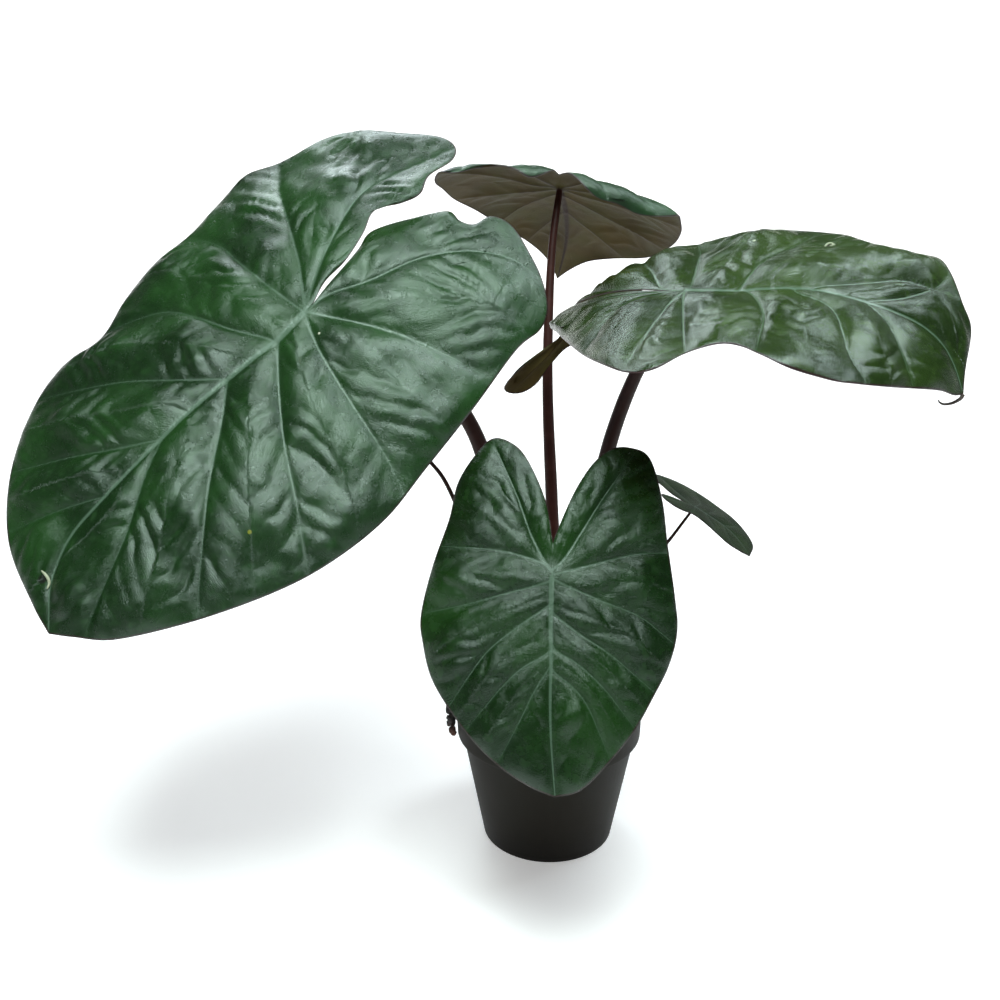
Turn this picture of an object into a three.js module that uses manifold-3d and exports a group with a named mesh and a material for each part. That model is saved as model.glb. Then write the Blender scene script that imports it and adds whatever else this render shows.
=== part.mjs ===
// Potted Yucatan Princess alocasia: six leaves on long stalks from a short crown,
// in coarse mix in a plain plastic nursery pot.
// Millimetres, +Z up, origin at the centre of the pot's flat base, the front of the plant faces -Y.
import * as THREE from "three";
import { mergeVertices } from "three/addons/utils/BufferGeometryUtils.js";
import Module from "manifold-3d";

const wasm = await Module();
wasm.setup();

// Driving dimensions of the pot
const POT_HEIGHT = 115;
const POT_BASE_RADIUS = 53.5;
const POT_NECK_RADIUS = 70.5;
const POT_RIM_RADIUS = 75.5;
const RIM_BAND_HEIGHT = 23;
const RIM_BAND_TAPER = 0.8;
const EDGE_ROUNDING = 1.5;
const WALL = 1.6;
const FLOOR = 2.4;
const DRAIN_HOLES = 8;
const DRAIN_RADIUS = 4.5;
const DRAIN_CIRCLE_RADIUS = 40;
const POT_SIDES = 48;
const BAND_FOOT = POT_HEIGHT - RIM_BAND_HEIGHT;

// Clearance that separate pieces keep to each other
const GAP = 0.3;

// The mix in the pot, and the crown that stands in it
const SOIL_EDGE_HEIGHT = 98;
const SOIL_DOME = 3;
const SOIL_LUMP = 1.1;
const SOIL_LUMP_SPACING = 28;
const SOIL_SIDES = 40;
const CROWN_RADIUS = 29;
const CROWN_BOTTOM = 62;
const CROWN_TOP = 114;
const CROWN_SIDES = 28;
const STALK_FOOT = 84;

// Leaf blades: the spine of a half blade ends short of the tip by this share, and its margin is
// measured off in equal steps along the curve
const BLADE_THICKNESS = 1;
const SPINE_REACH = 0.86;
const MARGIN_STEPS = 400;

// Stalks thicker than this at the foot get more sides and rings
const THIN_STALK = 4;

const looks = {
  plastic: { color: 0x4a443e, roughness: 0.55, metalness: 0 },
  mix: { color: 0x2a1f18, roughness: 0.95, metalness: 0 },
  sheath: { color: 0x5b3a2c, roughness: 0.6, metalness: 0 },
  stalk: { color: 0x3c2530, roughness: 0.45, metalness: 0 },
  leaf: { color: 0x2c5530, roughness: 0.35, metalness: 0 },
};

// Each leaf is drawn flat: u across and v along the midrib, from the junction with its stalk at (0, 0).
// right and left are the two half margins, from the foot of the notch between the lobes to the tip.
// ribs are the main ribs of the two basal lobes. A bend is [point, direction in degrees, length, angle]:
// past the line through the point the sheet curls down by the angle over that length.
// turn is the tip's compass heading (0 is +X), its climb and the roll about the midrib, in degrees.
const leaves = {
  a: {
    junction: [-173, -60, 444],
    turn: [220, -38, 27],
    rows: [13, 24, 5],
    bends: [
      [[0, 0], 0, 140, 22],
      [[0, 0], 180, 140, 30],
      [[0, 100], 90, 170, 15],
      [[0, 0], -90, 140, 12],
    ],
    right: {
      lift: 3,
      rib: [[35, -70], [60, -140]],
      margin: [[0, -8], [6, -28], [6, -50], [12, -76], [20, -97], [9, -114], [5, -130], [14, -150],
        [13, -175], [22, -190], [41, -194], [73, -184], [108, -175], [133, -160], [147, -119],
        [168, -97], [160, -61], [153, -20], [160, 14], [152, 52], [136, 87], [147, 118], [140, 153],
        [109, 200], [65, 238], [15, 259], [-9, 267]],
    },
    left: {
      lift: -5,
      rib: [[-25, -55], [-66, -108]],
      margin: [[0, -8], [3, -28], [5, -44], [9, -66], [14, -82], [8, -98], [-6, -118], [-19, -133],
        [-32, -130], [-42, -134], [-46, -148], [-62, -152], [-86, -143], [-106, -133], [-124, -118],
        [-131, -100], [-129, -75], [-134, -20], [-136, 37], [-137, 80], [-128, 125], [-112, 163],
        [-84, 206], [-50, 244], [-25, 259], [-9, 267]],
    },
  },
  b: {
    junction: [8, 115, 516],
    turn: [86, -25, -6],
    rows: [10, 15, 7],
    bends: [
      [[9, -35], -75, 26, 120],
      [[0, 0], 0, 92, 18],
      [[0, 0], 180, 92, 22],
      [[0, 20], 90, 124, 20],
      [[0, 0], -90, 102, 12],
    ],
    right: {
      rib: [[28, -28], [58, -42]],
      margin: [[0, -32], [10, -42], [25, -50], [39, -52], [56, -47], [72, -44], [86, -35], [97, -22],
        [101, -5], [104, 20], [100, 51], [87, 82], [73, 98], [46, 113], [26, 125], [10, 142], [-1, 157]],
    },
    left: {
      rib: [[-26, -36], [-55, -60]],
      margin: [[0, -32], [-8, -52], [-20, -62], [-35, -57], [-47, -54], [-62, -63], [-80, -71],
        [-92, -62], [-97, -42], [-93, -21], [-87, 5], [-74, 33], [-52, 74], [-29, 102], [-13, 125],
        [-3, 149], [-1, 157]],
    },
  },
  c: {
    junction: [86, -59, 459],
    turn: [-26, 6, -17],
    rows: [11, 16, 6],
    bends: [
      [[0, 0], 0, 93, -11],
      [[0, 0], 180, 93, 4],
      [[0, 56], 70, 140, 65],
      [[19, 0], -42, 56, 14],
      [[0, -9], -90, 102, 28],
    ],
    right: {
      rib: [[14, -40], [0, -104]],
      margin: [[0, -9], [-11, -42], [-24, -72], [-35, -98], [-46, -116], [-52, -132], [-39, -136],
        [-10, -116], [18, -96], [66, -58], [98, -28], [119, -3], [122, 15], [104, 30], [91, 46],
        [91, 58], [96, 70], [100, 88], [92, 111], [80, 128], [64, 148], [47, 168], [33, 185], [26, 197],
        [19, 204]],
    },
    left: {
      bends: [[[-43, -103], -150, 24, 100]],
      rib: [[-40, -60], [-60, -104], [-40, -150], [-14, -176]],
      margin: [[0, -9], [-13, -41], [-26, -72], [-39, -100], [-48, -124], [-41, -146], [-24, -162],
        [-9, -174], [-5, -183], [-11, -190], [-22, -190], [-33, -181], [-41, -165], [-51, -149],
        [-64, -138], [-76, -120], [-84, -98], [-99, -58], [-111, 0], [-115, 28], [-113, 48], [-96, 85],
        [-84, 100], [-76, 115], [-76, 140], [-80, 156], [-70, 166], [-47, 180], [-31, 192], [0, 198],
        [19, 204]],
    },
  },
  d: {
    junction: [-6, -140, 282],
    turn: [-94, -56, -1],
    rows: [10, 15, 5],
    bends: [
      [[0, 0], 0, 90, 25],
      [[0, 0], 180, 90, 25],
      [[0, 40], 90, 110, 20],
      [[0, 0], -90, 100, 10],
    ],
    right: {
      rib: [[17, -40], [40, -80]],
      margin: [[0, -25], [6, -55], [20, -86], [32, -99], [45, -103], [56, -93], [69, -71], [74, -44],
        [85, -10], [92, 23], [89, 43], [81, 67], [65, 90], [48, 109], [30, 124], [11, 135], [-5, 141]],
    },
    left: {
      rib: [[-18, -36], [-46, -76]],
      margin: [[0, -25], [-6, -42], [-15, -64], [-26, -83], [-38, -95], [-52, -98], [-66, -92],
        [-75, -62], [-79, -29], [-84, 5], [-86, 29], [-80, 53], [-69, 75], [-56, 98], [-40, 118],
        [-22, 136], [-5, 141]],
    },
  },
  e: {
    junction: [114, 20, 278],
    turn: [-29, -17, 5],
    rows: [6, 9, 3],
    bends: [
      [[0, 0], 0, 30, 3],
      [[0, 20], 90, 40, 24],
    ],
    right: {
      rib: [[6, -12], [9, -18]],
      margin: [[0, -8], [2, -20], [6, -27], [13, -22], [18, -12], [19, -4], [17, 4], [20, 12], [30, 29],
        [34, 42], [30, 53], [24, 60]],
    },
    left: {
      rib: [[-10, -16], [-26, -36]],
      margin: [[0, -8], [-5, -22], [-12, -32], [-20, -42], [-32, -48], [-38, -38], [-39, -24],
        [-34, -5], [-22, 18], [-10, 38], [4, 55], [24, 60]],
    },
  },
  f: {
    junction: [-121, 20, 348],
    turn: [165, -30, -8],
    rows: [6, 9, 3],
    bends: [
      [[0, 0], 0, 30, 14],
      [[0, 0], 180, 30, 14],
      [[0, 20], 90, 40, 24],
    ],
    right: {
      rib: [[7, -14], [15, -24]],
      margin: [[0, -7], [4, -18], [11, -28], [20, -32], [28, -26], [31, -12], [30, 6], [26, 22],
        [17, 38], [7, 51], [0, 60]],
    },
    left: {
      rib: [[-7, -14], [-15, -24]],
      margin: [[0, -7], [-4, -18], [-11, -28], [-20, -32], [-28, -26], [-31, -12], [-30, 6], [-26, 22],
        [-17, 38], [-7, 51], [0, 60]],
    },
  },
};

// Leaf stalks, from the foot in the crown to the junction: the points between, and the radii at both ends
const stalks = {
  a: {
    foot: [-14, 0],
    way: [[-24, -4, 180], [-40, -9, 270], [-61, -16, 352], [-112, -36, 420]],
    radii: [8, 4.6],
  },
  b: {
    foot: [5, 16],
    way: [[5, 22, 180], [2, 38, 270], [-2, 60, 370], [1, 92, 462]],
    radii: [7, 2.7],
  },
  c: {
    foot: [14, -2],
    way: [[22, -8, 180], [31, -13, 270], [40, -18, 334], [58, -32, 397]],
    radii: [8, 4.3],
  },
  d: {
    foot: [-2, -18],
    way: [[-3, -34, 180], [-4, -62, 245], [-5, -102, 277]],
    radii: [7, 3.8],
  },
  e: {
    foot: [24, 10],
    way: [[44, 10, 170], [72, 12, 222], [94, 15, 251], [106, 18, 267]],
    radii: [2.6, 1.1],
  },
  f: {
    foot: [-23, 12],
    way: [[-42, 13, 190], [-77, 14, 288], [-96, 17, 318]],
    radii: [2.6, 1.4],
  },
};

// Solids for joining and cutting
function toSolid(geometry) {
  const bare = geometry.clone();
  bare.deleteAttribute("normal");
  bare.deleteAttribute("uv");
  const merged = mergeVertices(bare, 1e-4);
  return new wasm.Manifold(new wasm.Mesh({
    numProp: 3,
    vertProperties: new Float32Array(merged.attributes.position.array),
    triVerts: new Uint32Array(merged.index.array),
  }));
}

function toGeometry(solid) {
  const mesh = solid.getMesh();
  const geometry = new THREE.BufferGeometry();
  geometry.setAttribute("position", new THREE.BufferAttribute(new Float32Array(mesh.vertProperties), 3));
  geometry.setIndex(new THREE.BufferAttribute(new Uint32Array(mesh.triVerts), 1));
  return geometry;
}

function smoothCurve(points) {
  const corners = points.map(([x, y, z]) => new THREE.Vector3(x, y, z ?? 0));
  return new THREE.CatmullRomCurve3(corners, false, "catmullrom", 0.5);
}

// A closed profile of [radius, height] points turned about the Z axis
function turned(profile, sides) {
  const points = profile.map(([radius, height]) => new THREE.Vector2(radius, height));
  return new THREE.LatheGeometry(points, sides).rotateX(Math.PI / 2);
}

// Pot: tapered wall, stepped rim band, and flat floor with a ring of drain holes
function potSolid() {
  let pot = toSolid(turned([
    [0, 0],
    [POT_BASE_RADIUS - EDGE_ROUNDING, 0],
    [POT_BASE_RADIUS, EDGE_ROUNDING],
    [POT_NECK_RADIUS, BAND_FOOT - EDGE_ROUNDING],
    [POT_RIM_RADIUS - RIM_BAND_TAPER, BAND_FOOT],
    [POT_RIM_RADIUS, POT_HEIGHT - WALL / 2],
    [POT_RIM_RADIUS - WALL / 3, POT_HEIGHT],
    [POT_RIM_RADIUS - WALL, POT_HEIGHT],
    [POT_RIM_RADIUS - RIM_BAND_TAPER - WALL, BAND_FOOT + EDGE_ROUNDING],
    [POT_NECK_RADIUS - WALL, BAND_FOOT - WALL / 3],
    [POT_BASE_RADIUS - WALL, FLOOR],
    [0, FLOOR],
  ], POT_SIDES));
  for (let i = 0; i < DRAIN_HOLES; i += 1) {
    const drain = new THREE.CylinderGeometry(DRAIN_RADIUS, DRAIN_RADIUS, 4 * FLOOR, 16);
    drain.rotateX(Math.PI / 2);
    drain.translate(DRAIN_CIRCLE_RADIUS, 0, 0);
    drain.rotateZ(((i + 0.5) / DRAIN_HOLES) * 2 * Math.PI);
    pot = pot.subtract(toSolid(drain));
  }
  return pot;
}

// Mix: fills the pot just clear of its wall, with a low dome roughened by a few waves
function soilSolid() {
  const clear = WALL + GAP + 0.1;
  const edge = POT_RIM_RADIUS - RIM_BAND_TAPER - clear;
  const geometry = turned([
    [0, FLOOR + GAP],
    [POT_BASE_RADIUS - clear, FLOOR + GAP],
    [POT_NECK_RADIUS - clear, BAND_FOOT - GAP],
    [edge, BAND_FOOT + EDGE_ROUNDING + GAP],
    [edge, SOIL_EDGE_HEIGHT],
    [0.82 * edge, SOIL_EDGE_HEIGHT + 0.4 * SOIL_DOME],
    [0.64 * edge, SOIL_EDGE_HEIGHT + 0.7 * SOIL_DOME],
    [0.46 * edge, SOIL_EDGE_HEIGHT + 0.9 * SOIL_DOME],
    [0, SOIL_EDGE_HEIGHT + SOIL_DOME],
  ], SOIL_SIDES);
  const position = geometry.attributes.position;
  const turnPerStep = (2 * Math.PI) / SOIL_LUMP_SPACING;
  for (let i = 0; i < position.count; i += 1) {
    const x = position.getX(i);
    const y = position.getY(i);
    const z = position.getZ(i);
    if (z > SOIL_EDGE_HEIGHT && Math.hypot(x, y) < 0.9 * edge) {
      position.setZ(i, z + SOIL_LUMP * Math.sin(turnPerStep * x) * Math.cos(turnPerStep * y));
    }
  }
  return toSolid(geometry);
}

// Crown: the short stem that the stalks grow from, widened all round by the given amount
function crownSolid(extra) {
  return toSolid(turned([
    [0, CROWN_BOTTOM - extra],
    [CROWN_RADIUS / 2 + extra, CROWN_BOTTOM + 3 - extra],
    [CROWN_RADIUS - 6 + extra, CROWN_BOTTOM + 14 - extra],
    [CROWN_RADIUS + extra, CROWN_BOTTOM + 30],
    [CROWN_RADIUS + extra, CROWN_TOP - 12],
    [CROWN_RADIUS - 3 + extra, CROWN_TOP - 7 + extra],
    [CROWN_RADIUS / 2 + extra, CROWN_TOP - 1 + extra],
    [0, CROWN_TOP + extra],
  ], CROWN_SIDES));
}

// A round stalk along a smooth curve, tapering evenly between its two radii
function stalkSolid(points, [startRadius, endRadius]) {
  const sides = startRadius > THIN_STALK ? 10 : 7;
  const steps = startRadius > THIN_STALK ? 20 : 14;
  const path = smoothCurve(points);
  const circle = new THREE.Shape();
  for (let i = 0; i < sides; i += 1) {
    const angle = (i / sides) * 2 * Math.PI;
    const corner = [startRadius * Math.cos(angle), startRadius * Math.sin(angle)];
    if (i === 0) {
      circle.moveTo(...corner);
    } else {
      circle.lineTo(...corner);
    }
  }
  circle.closePath();
  const geometry = new THREE.ExtrudeGeometry(circle, { steps, extrudePath: path, bevelEnabled: false });
  const rings = path.getSpacedPoints(steps);
  const position = geometry.attributes.position;
  const corner = new THREE.Vector3();
  for (let i = 0; i < position.count; i += 1) {
    corner.fromBufferAttribute(position, i);
    let nearest = 0;
    for (let k = 1; k <= steps; k += 1) {
      if (corner.distanceTo(rings[k]) < corner.distanceTo(rings[nearest])) {
        nearest = k;
      }
    }
    const scale = 1 + (endRadius / startRadius - 1) * (nearest / steps);
    corner.sub(rings[nearest]).multiplyScalar(scale).add(rings[nearest]);
    position.setXYZ(i, corner.x, corner.y, corner.z);
  }
  return toSolid(geometry);
}

function stalkPoints(name, footDrop) {
  const { foot, way } = stalks[name];
  return [[foot[0], foot[1], STALK_FOOT - footDrop], ...way, leaves[name].junction];
}

// The leaf's own axes in space: across, along and out of its upper face
function leafAxes([heading, climb, roll]) {
  return new THREE.Matrix4()
    .makeRotationZ(THREE.MathUtils.degToRad(heading - 90))
    .multiply(new THREE.Matrix4().makeRotationX(THREE.MathUtils.degToRad(climb)))
    .multiply(new THREE.Matrix4().makeRotationY(THREE.MathUtils.degToRad(-roll)));
}

// Stalk cut off along the underside of the blade it carries, and just clear of it
function trimmedStalk(name) {
  const stalk = stalkSolid(stalkPoints(name, 0), stalks[name].radii);
  const side = 40;
  const above = new THREE.BoxGeometry(side, side, side);
  above.translate(0, 0, side / 2 - BLADE_THICKNESS - GAP);
  above.applyMatrix4(leafAxes(leaves[name].turn));
  above.translate(...leaves[name].junction);
  const blade = bladeGeometry(leaves[name], BLADE_THICKNESS + GAP);
  return stalk.subtract(toSolid(above)).subtract(toSolid(blade));
}

// Curls a flat point (u, v, h) down past the bend's line, as a sheet wraps round a cylinder
function curl(point, [[atU, atV], direction, length, angle]) {
  const along = THREE.MathUtils.degToRad(direction);
  const eu = Math.cos(along);
  const ev = Math.sin(along);
  const distance = (point[0] - atU) * eu + (point[1] - atV) * ev;
  if (distance <= 0) {
    return point;
  }
  const curvature = -THREE.MathUtils.degToRad(angle) / length;
  const arc = Math.min(distance, length);
  const beyond = distance - arc;
  const sine = Math.sin(curvature * arc);
  const cosine = Math.cos(curvature * arc);
  const forward = sine / curvature + beyond * cosine - point[2] * sine;
  const height = (1 - cosine) / curvature + beyond * sine + point[2] * cosine;
  const shift = forward - distance;
  return [point[0] + shift * eu, point[1] + shift * ev, height];
}

// Rows of one half blade, each a straight line from a spine point to a margin point.
// The spine runs out along the lobe's rib, back to the junction and on along the midrib.
function halfRows(half, [lobeRows, bladeRows]) {
  const margin = smoothCurve(half.margin);
  margin.arcLengthDivisions = 600;
  const samples = margin.getSpacedPoints(MARGIN_STEPS);
  let lobeEnd = 0;
  samples.forEach((p, i) => {
    if (p.y < samples[lobeEnd].y) {
      lobeEnd = i;
    }
  });
  const shoulder = samples.findIndex((p, i) => i > lobeEnd && p.y >= 0);
  const rib = smoothCurve([[0, 0], ...half.rib]);
  const tip = half.margin[half.margin.length - 1];
  const rows = [];
  const addRow = (step, spine) => {
    const p = margin.getPointAt(step / MARGIN_STEPS);
    const lift = step < lobeEnd ? Math.sin((Math.PI * step) / lobeEnd) ** 2 * (half.lift ?? 0) : 0;
    rows.push({ spine, lift, edge: [p.x, p.y] });
  };
  for (let i = 0; i < lobeRows; i += 1) {
    const p = rib.getPointAt(i / lobeRows);
    addRow((lobeEnd * i) / lobeRows, [p.x, p.y]);
  }
  for (let i = 0; i < lobeRows; i += 1) {
    const p = rib.getPointAt(1 - i / lobeRows);
    addRow(lobeEnd + ((shoulder - lobeEnd) * i) / lobeRows, [p.x, p.y]);
  }
  for (let i = 0; i <= bladeRows; i += 1) {
    const reach = (SPINE_REACH * i) / bladeRows;
    addRow(shoulder + ((MARGIN_STEPS - shoulder) * i) / bladeRows, [tip[0] * reach, tip[1] * reach]);
  }
  return rows;
}

// Blade: both faces are the same rows of quads, split alike, and a narrow rim closes them
function bladeGeometry(leaf, thickness) {
  const columns = leaf.rows[2];
  const place = leafAxes(leaf.turn).setPosition(...leaf.junction);
  const positions = [];
  const triangles = [];
  for (const half of [leaf.right, leaf.left]) {
    const rows = halfRows(half, leaf.rows);
    const [upper, lower] = [0, thickness].map((depth) => rows.map((row) => {
      const line = [];
      for (let j = 0; j <= columns; j += 1) {
        const t = j / columns;
        let point = [
          row.spine[0] + (row.edge[0] - row.spine[0]) * t,
          row.spine[1] + (row.edge[1] - row.spine[1]) * t,
          row.lift * t * t - depth,
        ];
        for (const bend of [...(half.bends ?? []), ...leaf.bends]) {
          point = curl(point, bend);
        }
        const placed = new THREE.Vector3(...point).applyMatrix4(place);
        line.push(positions.length / 3);
        positions.push(placed.x, placed.y, placed.z);
      }
      return line;
    }));
    const add = (a, b, c) => {
      triangles.push(...(half === leaf.right ? [a, b, c] : [a, c, b]));
    };
    for (let i = 0; i + 1 < rows.length; i += 1) {
      for (let j = 0; j < columns; j += 1) {
        add(upper[i][j], upper[i + 1][j + 1], upper[i + 1][j]);
        add(upper[i][j], upper[i][j + 1], upper[i + 1][j + 1]);
        add(lower[i][j], lower[i + 1][j], lower[i + 1][j + 1]);
        add(lower[i][j], lower[i + 1][j + 1], lower[i][j + 1]);
      }
      add(upper[i][columns], lower[i][columns], upper[i + 1][columns]);
      add(lower[i][columns], lower[i + 1][columns], upper[i + 1][columns]);
    }
  }
  const geometry = new THREE.BufferGeometry();
  geometry.setAttribute("position", new THREE.Float32BufferAttribute(positions, 3));
  geometry.setIndex(triangles);
  return mergeVertices(geometry, 1e-3);
}

// Clump: coarse lumps of mix and an old root that lie on the mix and hang over the rim at the left
function clumpSolid() {
  const lumps = [
    [-66.5, -6, 105.6, 4.6],
    [-68.2, -5.5, 111.5, 4.3],
    [-69.5, -5.2, 116.5, 4],
    [-73.5, -5, 119.6, 4],
    [-77.2, -5.5, 120, 3.6],
    [-79.9, -5.5, 116.5, 4],
    [-80.4, -4, 111, 4.2],
    [-79.6, -8, 105.5, 4],
    [-80, -5, 100, 3.8],
    [-78.9, -8, 95, 3.2],
    [-78, -7, 91.5, 2.6],
  ];
  const parts = lumps.map(([x, y, z, radius], i) => {
    const lump = new THREE.IcosahedronGeometry(radius, 1);
    lump.rotateX(i);
    lump.translate(x, y, z);
    return toSolid(lump);
  });
  return parts.reduce((whole, part) => whole.add(part));
}

const group = new THREE.Group();

function addPiece(name, geometry, look) {
  const mesh = new THREE.Mesh(geometry, new THREE.MeshStandardMaterial(looks[look]));
  mesh.name = name;
  group.add(mesh);
}

// The stalks stand in holes of the crown and the mix, and the crown in a hole of the mix
let crown = crownSolid(0);
let soil = soilSolid().subtract(crownSolid(GAP));
for (const name of Object.keys(stalks)) {
  const hole = stalkSolid(stalkPoints(name, GAP), stalks[name].radii.map((radius) => radius + GAP));
  crown = crown.subtract(hole);
  soil = soil.subtract(hole);
}

addPiece("pot", toGeometry(potSolid()), "plastic");
addPiece("soil", toGeometry(soil), "mix");
addPiece("rim_clump", toGeometry(clumpSolid()), "mix");
addPiece("crown", toGeometry(crown), "sheath");
for (const name of Object.keys(leaves)) {
  addPiece(`petiole_${name}`, toGeometry(trimmedStalk(name)), "stalk");
  addPiece(`blade_${name}`, bladeGeometry(leaves[name], BLADE_THICKNESS), "leaf");
}

export default group;
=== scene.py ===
# Potted alocasia: quilted blades, stalks, crown, coarse mix and nursery pot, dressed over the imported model.
# Metres, +Z up, origin at the centre of the pot's base, the front of the plant faces -Y.
# Leaf outlines, veins and stalk paths are written in millimetres, as in the model's source.
import math

import bmesh
import bpy
import numpy as np
from bpy.props import FloatProperty, FloatVectorProperty, IntProperty, PointerProperty
from bpy.types import Operator, Panel, PropertyGroup
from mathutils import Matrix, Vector


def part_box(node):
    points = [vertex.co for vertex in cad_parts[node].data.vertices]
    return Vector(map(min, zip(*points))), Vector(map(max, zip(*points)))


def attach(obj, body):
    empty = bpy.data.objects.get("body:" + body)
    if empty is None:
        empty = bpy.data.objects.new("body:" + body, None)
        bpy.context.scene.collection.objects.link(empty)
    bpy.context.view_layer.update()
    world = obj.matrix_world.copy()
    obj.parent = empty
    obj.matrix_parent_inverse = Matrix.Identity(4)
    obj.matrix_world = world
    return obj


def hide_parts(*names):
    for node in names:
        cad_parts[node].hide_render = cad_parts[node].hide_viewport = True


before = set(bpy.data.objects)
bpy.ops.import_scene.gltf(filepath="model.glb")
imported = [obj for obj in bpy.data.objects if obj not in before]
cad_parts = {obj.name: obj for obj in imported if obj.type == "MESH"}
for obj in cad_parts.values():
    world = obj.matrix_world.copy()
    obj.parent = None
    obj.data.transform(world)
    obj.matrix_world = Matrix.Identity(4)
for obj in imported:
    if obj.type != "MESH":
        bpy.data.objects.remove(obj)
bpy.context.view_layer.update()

bl_info = {
    "name": "Potted Alocasia",
    "version": (1, 0, 0),
    "blender": (4, 5, 0),
    "location": "View3D > Sidebar > Alocasia",
    "description": "Builds the blades, stalks, crown, mix and pot of a potted alocasia",
    "category": "Add Mesh",
}

MM = 0.001
BODY = "root"
SIDES = ("left", "right")
# Millimetres of blade across the square of its flat texture coordinates
FLAT_SPAN = 400

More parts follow.
